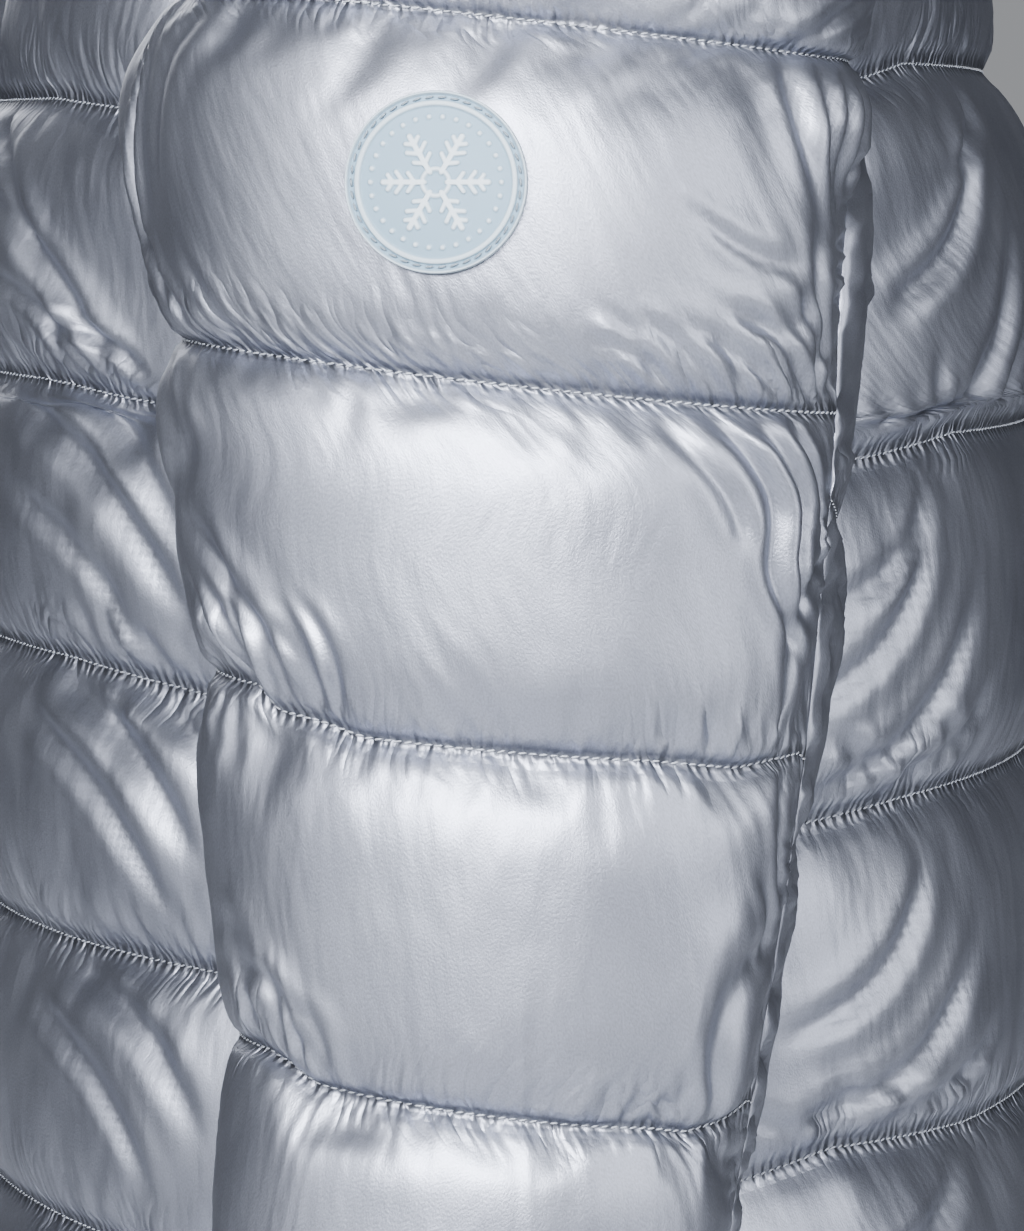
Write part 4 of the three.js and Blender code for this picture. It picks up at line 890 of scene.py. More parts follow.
def records(tables, name):
    """The rows of one piece's table, each with its columns by name."""
    columns = tables.get(name, {})
    return [dict(zip(columns, row)) for row in zip(*columns.values())]


def fanned(name, rng):
    """The single creases of a piece's fans, uneven in place, length and depth."""
    folds = []
    for fan in records(FANS, name):
        for k in range(int(fan["count"])):
            share = (k + rng.uniform(0.1, 0.9)) / fan["count"]
            across = fan["across"] + share * (fan["to_across"] - fan["across"])
            start = fan["line"] - 0.02 * np.sign(fan["reach"])
            reach = fan["reach"] * rng.uniform(0.45, 1.0)
            folds.append({
                "channel": start, "across": across,
                "to_channel": start - reach, "to_across": across + fan["lean"] * rng.uniform(0.5, 1.2),
                "width": fan["width"] * rng.uniform(0.8, 1.15), "depth": fan["depth"] * rng.uniform(0.5, 1.1),
            })
    for row in records(RUCKS, name):
        towards = 1 - 2 * row["edge"]
        for k in range(int(row["count"])):
            share = (k + rng.uniform(0.1, 0.9)) / row["count"]
            start = row["channel"] + share * (row["to_channel"] - row["channel"])
            folds.append({
                "channel": start, "across": row["edge"] + towards * 0.004,
                "to_channel": start + row["rise"] * rng.uniform(0.4, 1.3),
                "to_across": row["edge"] + towards * row["reach"] * rng.uniform(0.6, 1.2),
                "width": row["width"] * rng.uniform(0.8, 1.2), "depth": row["depth"] * rng.uniform(0.5, 1.1),
            })
    return folds


def folded(outer, panel, factors, name):
    """Lay the soft folds and the bunched wadding into a filled panel."""
    base, normal = doubled(panel["base"], factors), unit(doubled(panel["normal"], factors))
    x, y = lengths_along(base, 1), lengths_along(base, 0)
    rows, columns = base.shape[:2]
    channel = fine_channel(panel, factors, rows)
    falling = channel[-1] > channel[0]
    order = channel if falling else channel[::-1]

    def place(at_channel, across):
        r = np.interp(at_channel, order, np.arange(rows))
        r = int(round(r if falling else rows - 1 - r))
        c = int(round(across * (columns - 1)))
        return np.array([x[r, c], y[r, c]])

    spot = np.stack([x, y], -1)
    move = np.zeros((rows, columns))
    for fold in records(FOLDS, name) + fanned(name, np.random.default_rng(3)):
        a, b = place(fold["channel"], fold["across"]), place(fold["to_channel"], fold["to_across"])
        way = b - a
        t = ((spot - a) @ way) / (way @ way)
        aside = ((spot[..., 0] - a[0]) * way[1] - (spot[..., 1] - a[1]) * way[0]) / np.linalg.norm(way)
        aside = aside + 0.12 * np.linalg.norm(way) * np.sin(np.clip(t, 0, 1) * math.pi)
        fade = smooth(t / 0.25 + 0.5) * smooth((1 - t) / 0.35 + 0.1)
        valley = np.exp(-(aside / fold["width"]) ** 2)
        ridge = 0.55 * np.exp(-((np.abs(aside) - 2.1 * fold["width"]) / (1.3 * fold["width"])) ** 2)
        move += fold["depth"] * fade * (ridge - valley)
    share = in_channel(channel)
    move *= np.minimum(1, 9 * np.minimum(share, 1 - share))[:, None]
    for puff in records(PUFFS, name):
        a = place(puff["channel"], puff["across"])
        move += puff["height"] * np.exp(-((x - a[0]) / puff["along"]) ** 2 - ((y - a[1]) / puff["up"]) ** 2)
    edge = np.minimum(x, x[:, -1:] - x)
    move *= smooth(edge / 3.5)
    return outer + normal * move[..., None]


def doubled(grid, factors):
    """A grid of values with the given numbers of smooth steps for each cell, along its rows and columns."""
    rows = refine(grid, np.arange(len(grid), dtype=float), [factors[0]] * (len(grid) - 1))
    turned = np.swapaxes(rows, 0, 1)
    columns = refine(turned, np.arange(len(turned), dtype=float), [factors[1]] * (len(turned) - 1))
    return np.swapaxes(columns, 0, 1)


def fine_channel(panel, factors, rows):
    return np.interp(np.arange(rows) / factors[0], np.arange(len(panel["channel"])), panel["channel"])


def fine_distance(panel, factors):
    return np.clip(doubled(line_distance(panel)[..., None], factors)[..., 0], 0, None)


def above_line(channel):
    """0 below a quilt line and 1 above it, with a soft change in the middle of the channel."""
    return smooth((in_channel(channel) - 0.4) / 0.2)


def on_line(channel):
    return np.abs(channel - np.round(channel)) < 1e-6


def lengths_along(points, axis):
    step = np.linalg.norm(np.diff(points, axis=axis), axis=-1)
    total = np.cumsum(step, axis=axis)
    pad = [(0, 0), (0, 0)]
    pad[axis] = (1, 0)
    return np.pad(total, pad)


def line_distance(panel):
    """Distance of each point from the nearest quilt line, in millimetres."""
    channel = panel["channel"]
    height = lengths_along(panel["base"], 0)
    lines = np.nonzero(on_line(channel))[0]
    nearest = np.full(height.shape, 1e9)
    for r in lines:
        nearest = np.minimum(nearest, np.abs(height - height[r]))
    return nearest


def select_only(obj):
    bpy.ops.object.select_all(action="DESELECT")
    bpy.context.view_layer.objects.active = obj
    obj.select_set(True)


def cloth_grid(name, panel, settings, seed):
    """A flat grid of the panel's cells, laid in its form, with the quilt lines and edges held."""
    rows, columns = panel["base"].shape[:2]
    bpy.ops.object.select_all(action="DESELECT")
    bpy.ops.mesh.primitive_grid_add(x_subdivisions=columns - 1, y_subdivisions=rows - 1, size=1)
    obj = bpy.context.object
    obj.name = name
    mesh = obj.data
    flat = mesh_points(mesh)
    c = np.round((flat[:, 0] + 0.5) * (columns - 1)).astype(int)
    r = np.round((flat[:, 1] + 0.5) * (rows - 1)).astype(int)
    rng = np.random.default_rng(seed)
    rise = channel_rise(in_channel(panel["channel"]))[:, None]
    along = lengths_along(panel["base"], 1)
    to_edge = np.minimum(along, along[:, -1:] - along)
    away = line_distance(panel)
    gathers = gather_wave(along, panel["channel"], rng) * np.exp(-away / settings.gather_reach)
    start = settings.start_puff * rise * edge_rise(to_edge) * np.minimum(1, panel["hold"] + 0.2)
    start = start + settings.gather_start * gathers * np.minimum(1, away / 3.0)
    held = on_line(panel["channel"])[:, None] | (to_edge < 1e-6)
    held[[0, -1], :] = True
    start = np.where(held, 0, start)
    points = (panel["base"] + panel["normal"] * start[..., None]) * MM
    mesh.vertices.foreach_set("co", points[r, c].ravel())
    mesh.update()
    face = mesh.polygons[len(mesh.polygons) // 2]
    corner = face.vertices[0]
    if Vector(panel["normal"][r[corner], c[corner]]).dot(face.normal) < 0:
        mesh.flip_normals()
    group = obj.vertex_groups.new(name="sewn")
    group.add([int(i) for i in np.nonzero(held[r, c])[0]], 1.0, "REPLACE")
    add_cloth(obj, settings)
    return {"object": obj, "r": r, "c": c}


def gather_wave(along, channel, rng):
    """Uneven gathers along each quilt line: the count and depth drift from place to place."""
    wave = np.zeros_like(along)
    total = float(np.max(along))
    row_line = np.round(channel).astype(int)
    for line in np.unique(row_line):
        here = row_line == line
        u = along[here]
        drift = sum(
            rng.uniform(2, 6) * np.sin(TURN * (u / total * waves + rng.uniform())) for waves in (2, 3, 5, 9)
        )
        depth = 0.55 + 0.45 * swing(u, rng.uniform(70, 130), rng)
        wave[here] = depth * np.sin(TURN * (u + drift) / rng.uniform(10, 13))
    return wave


def add_cloth(obj, settings):
    select_only(obj)
    bpy.ops.object.modifier_add(type="CLOTH")
    cloth = obj.modifiers[-1]
    s = cloth.settings
    s.quality = 4
    s.mass = 0.002
    s.vertex_group_mass = "sewn"
    s.tension_stiffness = 5
    s.compression_stiffness = 5
    s.shear_stiffness = 2.5
    s.bending_stiffness = 0.01
    s.use_pressure = True
    s.uniform_pressure_force = settings.pressure
    s.shrink_min = -settings.spare_cloth
    s.effector_weights.gravity = 0
    cloth.collision_settings.use_collision = False
    cloth.point_cache.frame_end = settings.frames


def filled(panels, settings):
    """Each panel's points, in millimetres, once the cloth has been blown up between its quilt lines."""
    grids = {
        name: cloth_grid("fill_" + name, panel, settings, seed)
        for seed, (name, panel) in enumerate(panels.items(), start=11)
    }
    scene = bpy.context.scene
    for step in range(1, settings.frames + 1):
        scene.frame_set(step)
    shapes = {}
    for name, grid in grids.items():
        obj = grid["object"]
        select_only(obj)
        bpy.ops.object.modifier_apply(modifier=obj.modifiers[0].name)
        points = np.empty_like(panels[name]["base"])
        points[grid["r"], grid["c"]] = mesh_points(obj.data) / MM
        shapes[name] = points
        mesh = obj.data
        bpy.data.objects.remove(obj)
        bpy.data.meshes.remove(mesh)
    scene.frame_set(1)
    return shapes


def calmed(rise, panel):
    """The rise without the ripple from cell to cell that the cloth's own grid leaves."""
    kept = rise.copy()
    for axis in (0, 1):
        padded = np.pad(rise, [(1, 1) if axis == 0 else (0, 0), (1, 1) if axis == 1 else (0, 0)], mode="edge")
        low, high = (padded[:-2], padded[2:]) if axis == 0 else (padded[:, :-2], padded[:, 2:])
        rise = (low + 2 * rise + high) / 4
    rise[on_line(panel["channel"])] = kept[on_line(panel["channel"])]
    rise[:, [0, -1]] = kept[:, [0, -1]]
    return rise


def limited(panel, points, settings):
    """The filled shape with its rise held back where cloth is tight, and never past the cap."""
    move = points - panel["base"]
    move = np.stack([calmed(move[..., k], panel) for k in range(3)], -1)
    out = np.sum(move * panel["normal"], axis=-1)
    along = move - out[..., None] * panel["normal"]
    hold = panel["hold"]
    out = out * hold
    out = np.where(out > 0, settings.cap * np.tanh(out / settings.cap), out)
    return panel["base"] + along * np.minimum(1, hold + 0.3)[..., None] + panel["normal"] * out[..., None]


def zipped(outer_ids, inner_ids, kept, flip):
    """Triangles between a fine border and a coarse one that keeps only some of its points."""
    faces = []

    def add(a, b, c):
        faces.append((b, a, c) if flip else (a, b, c))

    for k in range(len(kept) - 1):
        low, high = kept[k], kept[k + 1]
        middle = (low + high) // 2
        for i in range(low, high):
            add(outer_ids[i], outer_ids[i + 1], inner_ids[k] if i < middle else inner_ids[k + 1])
        add(inner_ids[k + 1], inner_ids[k], outer_ids[middle])
    return faces


def kept_steps(count, step):
    kept = list(range(0, count, step))
    if kept[-1] != count - 1:
        if count - 1 - kept[-1] < step // 2:
            kept.pop()
        kept.append(count - 1)
    return kept


def cell_faces(ids, turned=False):
    """The four-sided faces of a grid of point numbers."""
    corners = [ids[:-1, :-1], ids[:-1, 1:], ids[1:, 1:], ids[1:, :-1]]
    if turned:
        corners = corners[:1] + corners[:0:-1]
    return np.stack(corners, -1).reshape(-1, 4).tolist()


def wall_object(name, outer, panel, factors, flip):
    """A closed piece: the fine outer face, a plain inner face and the edges between them."""
    rows, columns = outer.shape[:2]
    base, normal = doubled(panel["base"], factors), unit(doubled(panel["normal"], factors))
    keep_r = kept_steps(rows, INNER_STEPS[0] * factors[0])
    keep_c = kept_steps(columns, INNER_STEPS[1] * factors[1])
    pick = np.ix_(keep_r, keep_c)
    inner = (base - normal * WALL)[pick]
    distance = fine_distance(panel, factors)
    u, v = lengths_along(base, 1), lengths_along(base, 0)
    outer_ids = np.arange(rows * columns).reshape(rows, columns)
    inner_ids = rows * columns + np.arange(inner.shape[0] * inner.shape[1]).reshape(inner.shape[:2])
    faces = cell_faces(outer_ids) + cell_faces(inner_ids, True)
    faces += zipped(outer_ids[:, 0], inner_ids[:, 0], keep_r, False)
    faces += zipped(outer_ids[:, -1], inner_ids[:, -1], keep_r, True)
    faces += zipped(outer_ids[0], inner_ids[0], keep_c, True)
    faces += zipped(outer_ids[-1], inner_ids[-1], keep_c, False)
    points = np.concatenate([outer.reshape(-1, 3), inner.reshape(-1, 3)])
    if flip:
        points = mirrored(points)
    mesh = bpy.data.meshes.new(name)
    mesh.from_pydata(points * MM, [], faces)
    uv = np.concatenate([np.stack([a, b], -1).reshape(-1, 2) for a, b in ((u, v), (u[pick], v[pick]))]) * MM
    layer = mesh.uv_layers.new(name="cloth")
    corner = np.empty(len(mesh.loops), dtype=np.int32)
    mesh.loops.foreach_get("vertex_index", corner)
    layer.data.foreach_set("uv", uv[corner].ravel())
    near = mesh.attributes.new("line_distance", "FLOAT", "POINT")
    inner_distance = np.full(inner.shape[0] * inner.shape[1], FAR_FROM_LINES)
    # Below a line the distance grows faster, so that the painted groove shade and the gathers that the satin
    # draws beside the line end sooner there
    faster = 1 + (1 / BELOW_LINE - 1) * (1 - above_line(fine_channel(panel, factors, rows)))
    outer_distance = (distance * faster[:, None]).ravel()
    near.data.foreach_set("value", np.concatenate([outer_distance, inner_distance]) * MM)
    mesh.shade_smooth()
    obj = bpy.data.objects.new(name, mesh)
    bpy.context.collection.objects.link(obj)
    fix_normals(obj)
    return obj


def fix_normals(obj):
    work = bmesh.new()
    work.from_mesh(obj.data)
    bmesh.ops.recalc_face_normals(work, faces=work.faces)
    work.to_mesh(obj.data)
    work.free()


def tucked(outer, panel, factors, rng, settings):
    """Lay in the tucks at the thread, the creases that fan out of them and the pleats along long seams."""
    base = doubled(panel["base"], factors)
    normal = unit(doubled(panel["normal"], factors))
    along = lengths_along(base, 1)
    distance = fine_distance(panel, factors)
    channel = fine_channel(panel, factors, len(base))
    wave = np.zeros_like(along)
    crease = np.zeros_like(along)
    nearest = np.round(channel).astype(int)
    for line in np.unique(nearest):
        here = nearest == line
        u, away = along[here], distance[here]
        drift = sum(rng.uniform(0.6, 1.8) * swing(u, span, rng) for span in (23, 41, 77))
        depth = 0.5 + 0.5 * swing(u, 33, rng) * swing(u, 57, rng)
        wave[here] = np.sin(TURN * (u + drift) / settings.tuck_pitch) * depth
        lean = 0.35 * swing(u, 150, rng)
        at = u + drift * 1.6 + lean * away
        patch = np.clip(0.35 + 0.65 * swing(at, rng.uniform(60, 90), rng), 0, 1)
        ripple = np.sin(TURN * at / settings.crease_pitch)
        ripple = ripple - 0.35 * np.cos(2 * TURN * at / settings.crease_pitch)
        reach = settings.crease_reach * (0.7 + 0.5 * swing(u, 43, rng))
        crease[here] = ripple * patch * np.exp(-away / reach) * smooth(away / 3)
    near = np.exp(-((distance - 3.0) / 3.2) ** 2)
    above = (BELOW_LINE + (1 - BELOW_LINE) * above_line(channel))[:, None]
    move = above * (settings.tuck_depth * wave * near + settings.crease_depth * crease)
    v = lengths_along(base, 0)
    for edge in (along, along[:, -1:] - along):
        drift = sum(rng.uniform(0.8, 2.2) * swing(v, span, rng) for span in (19, 37, 71))
        at = v + drift + rng.uniform(-0.5, 0.5) * edge
        patch = np.clip(0.4 + 0.6 * swing(v, rng.uniform(50, 80), rng), 0, 1)
        pleat = np.sin(TURN * at / settings.edge_pitch) * patch
        fade = np.exp(-edge / settings.edge_reach) * smooth(edge / 2.5) * smooth(distance / 4)
        move += settings.edge_depth * pleat * fade
    return outer + normal * move[..., None]


def in_mm(name, description, default, low, high):
    """A setting in millimetres."""
    return bpy.props.FloatProperty(
        name=name, description=description + ", in millimetres", default=default, min=low, max=high)


def hex_colour(name, description, default):
    return bpy.props.StringProperty(
        name=name, description="Colour of " + description + ", as an sRGB hex value", default=default)


class CoatSettings(bpy.types.PropertyGroup):
    """Sizes and colours of the coat that a user would change."""
    cell: in_mm("Cloth Cell", "Cell of the simulated cloth on the left sleeve", 3.4, 2.0, 12.0)
    frames: bpy.props.IntProperty(
        name="Filling Steps", description="Steps of the cloth simulation that fill the channels",
        default=16, min=4, max=60)
    pressure: bpy.props.FloatProperty(
        name="Wadding Pressure", description="Pressure of the wadding on the cloth",
        default=20.0, min=1.0, max=80.0)
    spare_cloth: bpy.props.FloatProperty(
        name="Spare Cloth", description="Share by which the cloth is wider than the lines it is sewn down to",
        default=0.05, min=0.0, max=0.2)
    start_puff: in_mm("Starting Rise", "Rise of a channel before it is filled", 7.0, 0.0, 15.0)
    gather_start: in_mm("Gather Depth", "Depth of the gathers before the cloth is filled", 0.7, 0.0, 4.0)
    gather_reach: in_mm("Gather Reach", "How far the gathers run from a quilt line", 14.0, 2.0, 40.0)
    cap: in_mm("Highest Rise", "Most that a channel stands above its quilt lines", 15.0, 4.0, 25.0)
    tuck_pitch: in_mm("Tuck Pitch", "Distance between the small tucks along a quilt line", 4.9, 2.0, 20.0)
    tuck_depth: in_mm("Tuck Depth", "Depth of the small tucks", 0.45, 0.0, 2.0)
    crease_pitch: in_mm("Crease Pitch", "Distance between the fanned creases at a quilt line", 5.8, 2.0, 30.0)
    crease_depth: in_mm("Crease Depth", "Depth of the fanned creases", 0.6, 0.0, 2.0)
    crease_reach: in_mm("Crease Reach", "How far the fanned creases run from a quilt line", 19.0, 2.0, 50.0)
    edge_pitch: in_mm("Edge Pleat Pitch", "Distance between the pleats along the long seams", 7.5, 3.0, 30.0)
    edge_depth: in_mm("Edge Pleat Depth", "Depth of the pleats along the long seams", 1.1, 0.0, 3.0)
    edge_reach: in_mm("Edge Pleat Reach", "How far the pleats run from a long seam", 9.0, 2.0, 40.0)
    stitch_pitch: in_mm("Stitch Pitch", "Distance from one stitch to the next", 2.35, 1.5, 6.0)
    satin_light: hex_colour("Satin", "the satin", "#BABECA")
    satin_dark: hex_colour("Satin Shade", "the satin's darker patches", "#A6AAB8")
    thread: hex_colour("Thread", "the sewing thread", "#AEB3BC")
    rubber: hex_colour("Badge Field", "the badge's field", "#8CA2B3")
    rubber_relief: hex_colour("Badge Relief", "the badge's raised design", "#C2CCD4")


def linear(hex_value):
    """Linear colour of an sRGB hex value."""
    parts = [int(hex_value[k:k + 2], 16) / 255 for k in (1, 3, 5)]
    return tuple(c / 12.92 if c <= 0.04045 else ((c + 0.055) / 1.055) ** 2.4 for c in parts) + (1.0,)


def add_node(tree, kind, links=(), **values):
    """Add a shader node, set its properties and sockets, and link (socket, output) pairs into it."""
    node = tree.nodes.new(kind)
    for key, value in values.items():
        if key.startswith("in_"):
            name = key[3:].replace("_", " ")
            node.inputs[name].default_value = value
        else:
            setattr(node, key, value)
    for socket, output in links:
        tree.links.new(output, node.inputs[socket])
    return node


def new_material(name, metallic, roughness, colour, **sockets):
    material = bpy.data.materials.new(name)
    material.use_nodes = True
    tree = material.node_tree
    shader = tree.nodes["Principled BSDF"]
    shader.inputs["Metallic"].default_value = metallic
    shader.inputs["Roughness"].default_value = roughness
    shader.inputs["Base Color"].default_value = colour
    for key, value in sockets.items():
        shader.inputs[key.replace("_", " ")].default_value = value
    return material, tree, shader


def noise(tree, place, scale, detail=2.0):
    """Output of a noise texture."""
    node = add_node(tree, "ShaderNodeTexNoise", [("Vector", place)], in_Scale=scale, in_Detail=detail)
    return node.outputs["Fac"]


def object_place(tree):
    return add_node(tree, "ShaderNodeTexCoord").outputs["Object"]


def stretched(tree, place, along):
    """Places on the cloth, drawn together along the warp so that a texture runs that way."""
    node = add_node(tree, "ShaderNodeMapping", [("Vector", place)], in_Scale=(1.0, along, 1.0))
    return node.outputs["Vector"]


def ranged(tree, value, to_min, to_max, from_min=0.0, from_max=1.0, kind="LINEAR"):
    """Output of a node that maps one range of values to another."""
    node = add_node(
        tree, "ShaderNodeMapRange", [("Value", value)], interpolation_type=kind,
        in_From_Min=from_min, in_From_Max=from_max, in_To_Min=to_min, in_To_Max=to_max)
    return node.outputs["Result"]


def mixed(tree, links, **values):
    node = add_node(tree, "ShaderNodeMix", links, data_type="RGBA", **values)
    return node.outputs["Result"]


def product(tree, a, b):
    return add_node(tree, "ShaderNodeMath", [(0, a), (1, b)], operation="MULTIPLY").outputs["Value"]


def bump(tree, height, strength, distance, below=None):
    """Output of a bump node, laid over the bump "below" where one is given."""
    links = [("Height", height)]
    if below is not None:
        links.append(("Normal", below))
    node = add_node(tree, "ShaderNodeBump", links, in_Strength=strength, in_Distance=distance)
    return node.outputs["Normal"]


def satin_nylon(settings):
    """Calendered nylon satin: a broad, metallic gloss that falls off fast on slopes, over a fine weave, with
    painted shade beside the quilt lines.
    """
    dark, light = linear(settings.satin_dark), linear(settings.satin_light)
    material, tree, shader = new_material("silver_nylon_satin", 0.88, 0.4, light, Specular_IOR_Level=0.4)
    uv = add_node(tree, "ShaderNodeUVMap", uv_map="cloth").outputs["UV"]
    near = add_node(tree, "ShaderNodeAttribute", attribute_name="line_distance").outputs["Fac"]
    # Cloudy change of tone, 30 mm and wider, as the wadding lifts the cloth unevenly
    cloud = noise(tree, uv, 22.0, 3.0)
    tone = mixed(tree, [("Factor", cloud)], in_A=dark, in_B=light)
    # Weave: real threads lie 0.12 mm apart, drawn at 0.4 mm so that the grain shows
    weave = noise(tree, stretched(tree, uv, 0.6), 2400.0, 1.0)
    grain = ranged(tree, weave, 0.86, 1.0, 0.3, 0.7)
    woven = mixed(tree, [("A", tone), ("B", grain)], blend_type="MULTIPLY", in_Factor=1.0)
    # Painted shade: the cloth's colour darkens towards each quilt line, standing in for the shade that falls
    # in the groove
    painted_groove_shade = ranged(tree, near, 0.66, 1.0, 0.0004, 0.0045, "SMOOTHSTEP")
    shaded = mixed(tree, [("A", woven), ("B", painted_groove_shade)], blend_type="MULTIPLY", in_Factor=1.0)
    tree.links.new(shaded, shader.inputs["Base Color"])
    # Small creases along the warp, 3 to 8 mm wide
    crease = noise(tree, stretched(tree, uv, 0.28), 150.0, 2.0)
    # Sharp gathers, 3 to 5 mm apart, that run out from a quilt line and fade within 25 mm
    bunch = add_node(tree, "ShaderNodeTexNoise", [("Vector", uv)], in_Scale=28.0, in_Detail=0.0)
    bend = add_node(
        tree, "ShaderNodeVectorMath", [(0, bunch.outputs["Color"])], operation="SCALE", in_Scale=0.03)
    bent = add_node(tree, "ShaderNodeVectorMath", [(0, uv), (1, bend.outputs["Vector"])], operation="ADD")
    gather = noise(tree, stretched(tree, bent.outputs["Vector"], 0.13), 170.0, 1.5)
    centred = add_node(tree, "ShaderNodeMath", [(0, gather)], operation="SUBTRACT")
    centred.inputs[1].default_value = 0.5
    sharp = add_node(tree, "ShaderNodeMath", [(0, centred.outputs["Value"])], operation="ABSOLUTE")
    reach = ranged(tree, near, 1.0, 0.0, 0.002, 0.026, "SMOOTHSTEP")
    drawn = product(tree, sharp.outputs["Value"], reach)
    # They come in bunches, 20 to 60 mm wide
    bunched = ranged(tree, bunch.outputs["Fac"], 0.2, 1.0, 0.4, 0.62, "SMOOTHSTEP")
    gathered = product(tree, drawn, bunched)
    # Pull of each stitch, only within a few millimetres of a quilt line
    pull = add_node(
        tree, "ShaderNodeTexWave", [("Vector", uv)], in_Scale=WAVE_BAND / (1.3 * settings.stitch_pitch * MM),
        in_Distortion=5.0, in_Detail=2.0, in_Detail_Scale=1.6)
    pulled = product(tree, pull.outputs["Fac"], ranged(tree, near, 1.0, 0.0, 0.0005, 0.0065))
    normal = bump(tree, weave, 0.2, 0.0003)
    normal = bump(tree, crease, 0.3, 0.0016, normal)
    normal = bump(tree, gathered, 0.65, 0.006, normal)
    normal = bump(tree, pulled, 0.55, 0.0008, normal)
    tree.links.new(normal, shader.inputs["Normal"])
    tree.links.new(ranged(tree, cloud, 0.42, 0.52), shader.inputs["Roughness"])
    return material


def polyester_thread(settings):
    """Spun polyester sewing thread: pale, with a soft gloss along its two twisted plies."""
    ply = linear(settings.thread)
    material, tree, shader = new_material("polyester_thread", 0.1, 0.5, ply, Sheen_Weight=0.3)
    fibre = noise(tree, object_place(tree), 4000.0)
    tree.links.new(bump(tree, fibre, 0.3, 0.0002), shader.inputs["Normal"])
    return material


def moulded_rubber(settings):
    """Soft moulded PVC rubber: matt, faintly waxy, with two colours poured in relief."""
    field = linear(settings.rubber)
    material, tree, shader = new_material("moulded_rubber", 0.0, 0.55, field, Specular_IOR_Level=0.4)
    relief = add_node(tree, "ShaderNodeAttribute", attribute_name="relief").outputs["Fac"]
    poured = mixed(tree, [("Factor", relief)], in_A=field, in_B=linear(settings.rubber_relief))
    tree.links.new(poured, shader.inputs["Base Color"])
    # Mould texture, about 0.3 mm
    grain = noise(tree, object_place(tree), 3000.0, 3.0)
    tree.links.new(bump(tree, grain, 0.12, 0.0001), shader.inputs["Normal"])
    return material


def woven_tape():
    """Polyester zip tape: matt, with a visible rib of about 0.8 mm."""
    material, tree, shader = new_material("woven_zip_tape", 0.0, 0.8, linear("#8F96A2"), Sheen_Weight=0.2)
    rib = add_node(
        tree, "ShaderNodeTexWave", [("Vector", object_place(tree))], bands_direction="Z", in_Scale=200.0)
    tree.links.new(bump(tree, rib.outputs["Fac"], 0.4, 0.0003), shader.inputs["Normal"])
    return material


def acetal_teeth():
    """Injection-moulded acetal zip teeth: smooth, with a soft plastic gloss."""
    material, tree, shader = new_material("acetal_teeth", 0.0, 0.35, linear("#A8AEB8"))
    flow = noise(tree, object_place(tree), 900.0)
    tree.links.new(ranged(tree, flow, 0.28, 0.42), shader.inputs["Roughness"])
    return material


def plated_zinc():
    """Die-cast zinc with a nickel plate: bright, tumbled soft, with faint handling marks."""
    material, tree, shader = new_material("nickel_plated_zinc", 1.0, 0.28, linear("#C4C8CC"))
    marks = noise(tree, object_place(tree), 700.0, 5.0)
    tree.links.new(ranged(tree, marks, 0.2, 0.36), shader.inputs["Roughness"])
    tree.links.new(bump(tree, marks, 0.08, 0.0002), shader.inputs["Normal"])
    return material


def painted_plaster():
    """Matt painted studio floor, pale grey."""
    material, tree, shader = new_material("pale_studio_paint", 0.0, 0.9, linear("#DADBDD"))
    patch = noise(tree, object_place(tree), 3.0)
    tree.links.new(ranged(tree, patch, 0.85, 0.95), shader.inputs["Roughness"])
    return material


def stitch_shape():
    """One stitch, 1 long, 1 wide and 1 high: a slim sphere stretched along X."""
    bpy.ops.object.select_all(action="DESELECT")
    bpy.ops.mesh.primitive_uv_sphere_add(segments=4, ring_count=3, radius=0.5)
    obj = bpy.context.object
    mesh = obj.data
    points = np.array([v.co[:] for v in mesh.vertices])[:, [2, 0, 1]]
    faces = [tuple(p.vertices) for p in mesh.polygons]
    bpy.data.objects.remove(obj)
    bpy.data.meshes.remove(mesh)
    return points, faces


def repeated(name, shape, frames, material):
    """One object that holds a copy of a small shape in each frame: origin, x, y and z axes, in metres."""
    points, faces = shape
    count = len(points)
    spots = np.einsum("nki,vk->nvi", frames[:, 1:], points) + frames[:, :1]
    faces = np.array([list(f) + [-1] * (4 - len(f)) for f in faces])
    ids = faces[None] + (np.arange(len(frames)) * count)[:, None, None]
    ids = np.where(faces[None] < 0, -1, ids).reshape(-1, 4)
    mesh = bpy.data.meshes.new(name)
    mesh.from_pydata(spots.reshape(-1, 3), [], [tuple(i for i in f if i >= 0) for f in ids.tolist()])
    mesh.shade_smooth()
    mesh.materials.append(material)
    obj = bpy.data.objects.new(name, mesh)
    bpy.context.collection.objects.link(obj)
    fix_normals(obj)
    return obj


def stitch_frames(line, normal, settings, rng):
    """Frames of the stitches along one quilt line, in metres."""
    reach = line_reach(line)
    count = int(reach[-1] // settings.stitch_pitch)
    if count < 2:
        return np.zeros((0, 4, 3))
    at = (np.arange(count) + 0.5) * reach[-1] / count
    place = along_line(at, reach, line)
    out = unit(along_line(at, reach, normal))
    along = unit(along_line(at + 0.4, reach, line) - along_line(at - 0.4, reach, line))
    across = unit(np.cross(out, along))
    lean = np.radians(13 + rng.normal(0, 5, count))[:, None]
    x = along * np.cos(lean) + across * np.sin(lean)
    y = unit(np.cross(out, x))
    size = (1 + rng.normal(0, 0.05, count))[:, None]
    length = x * settings.stitch_pitch * 0.93 * size
    return np.stack([place + out * 0.28, length, y * 0.62 * size, out * 0.55], 1) * MM


PIECES = {}


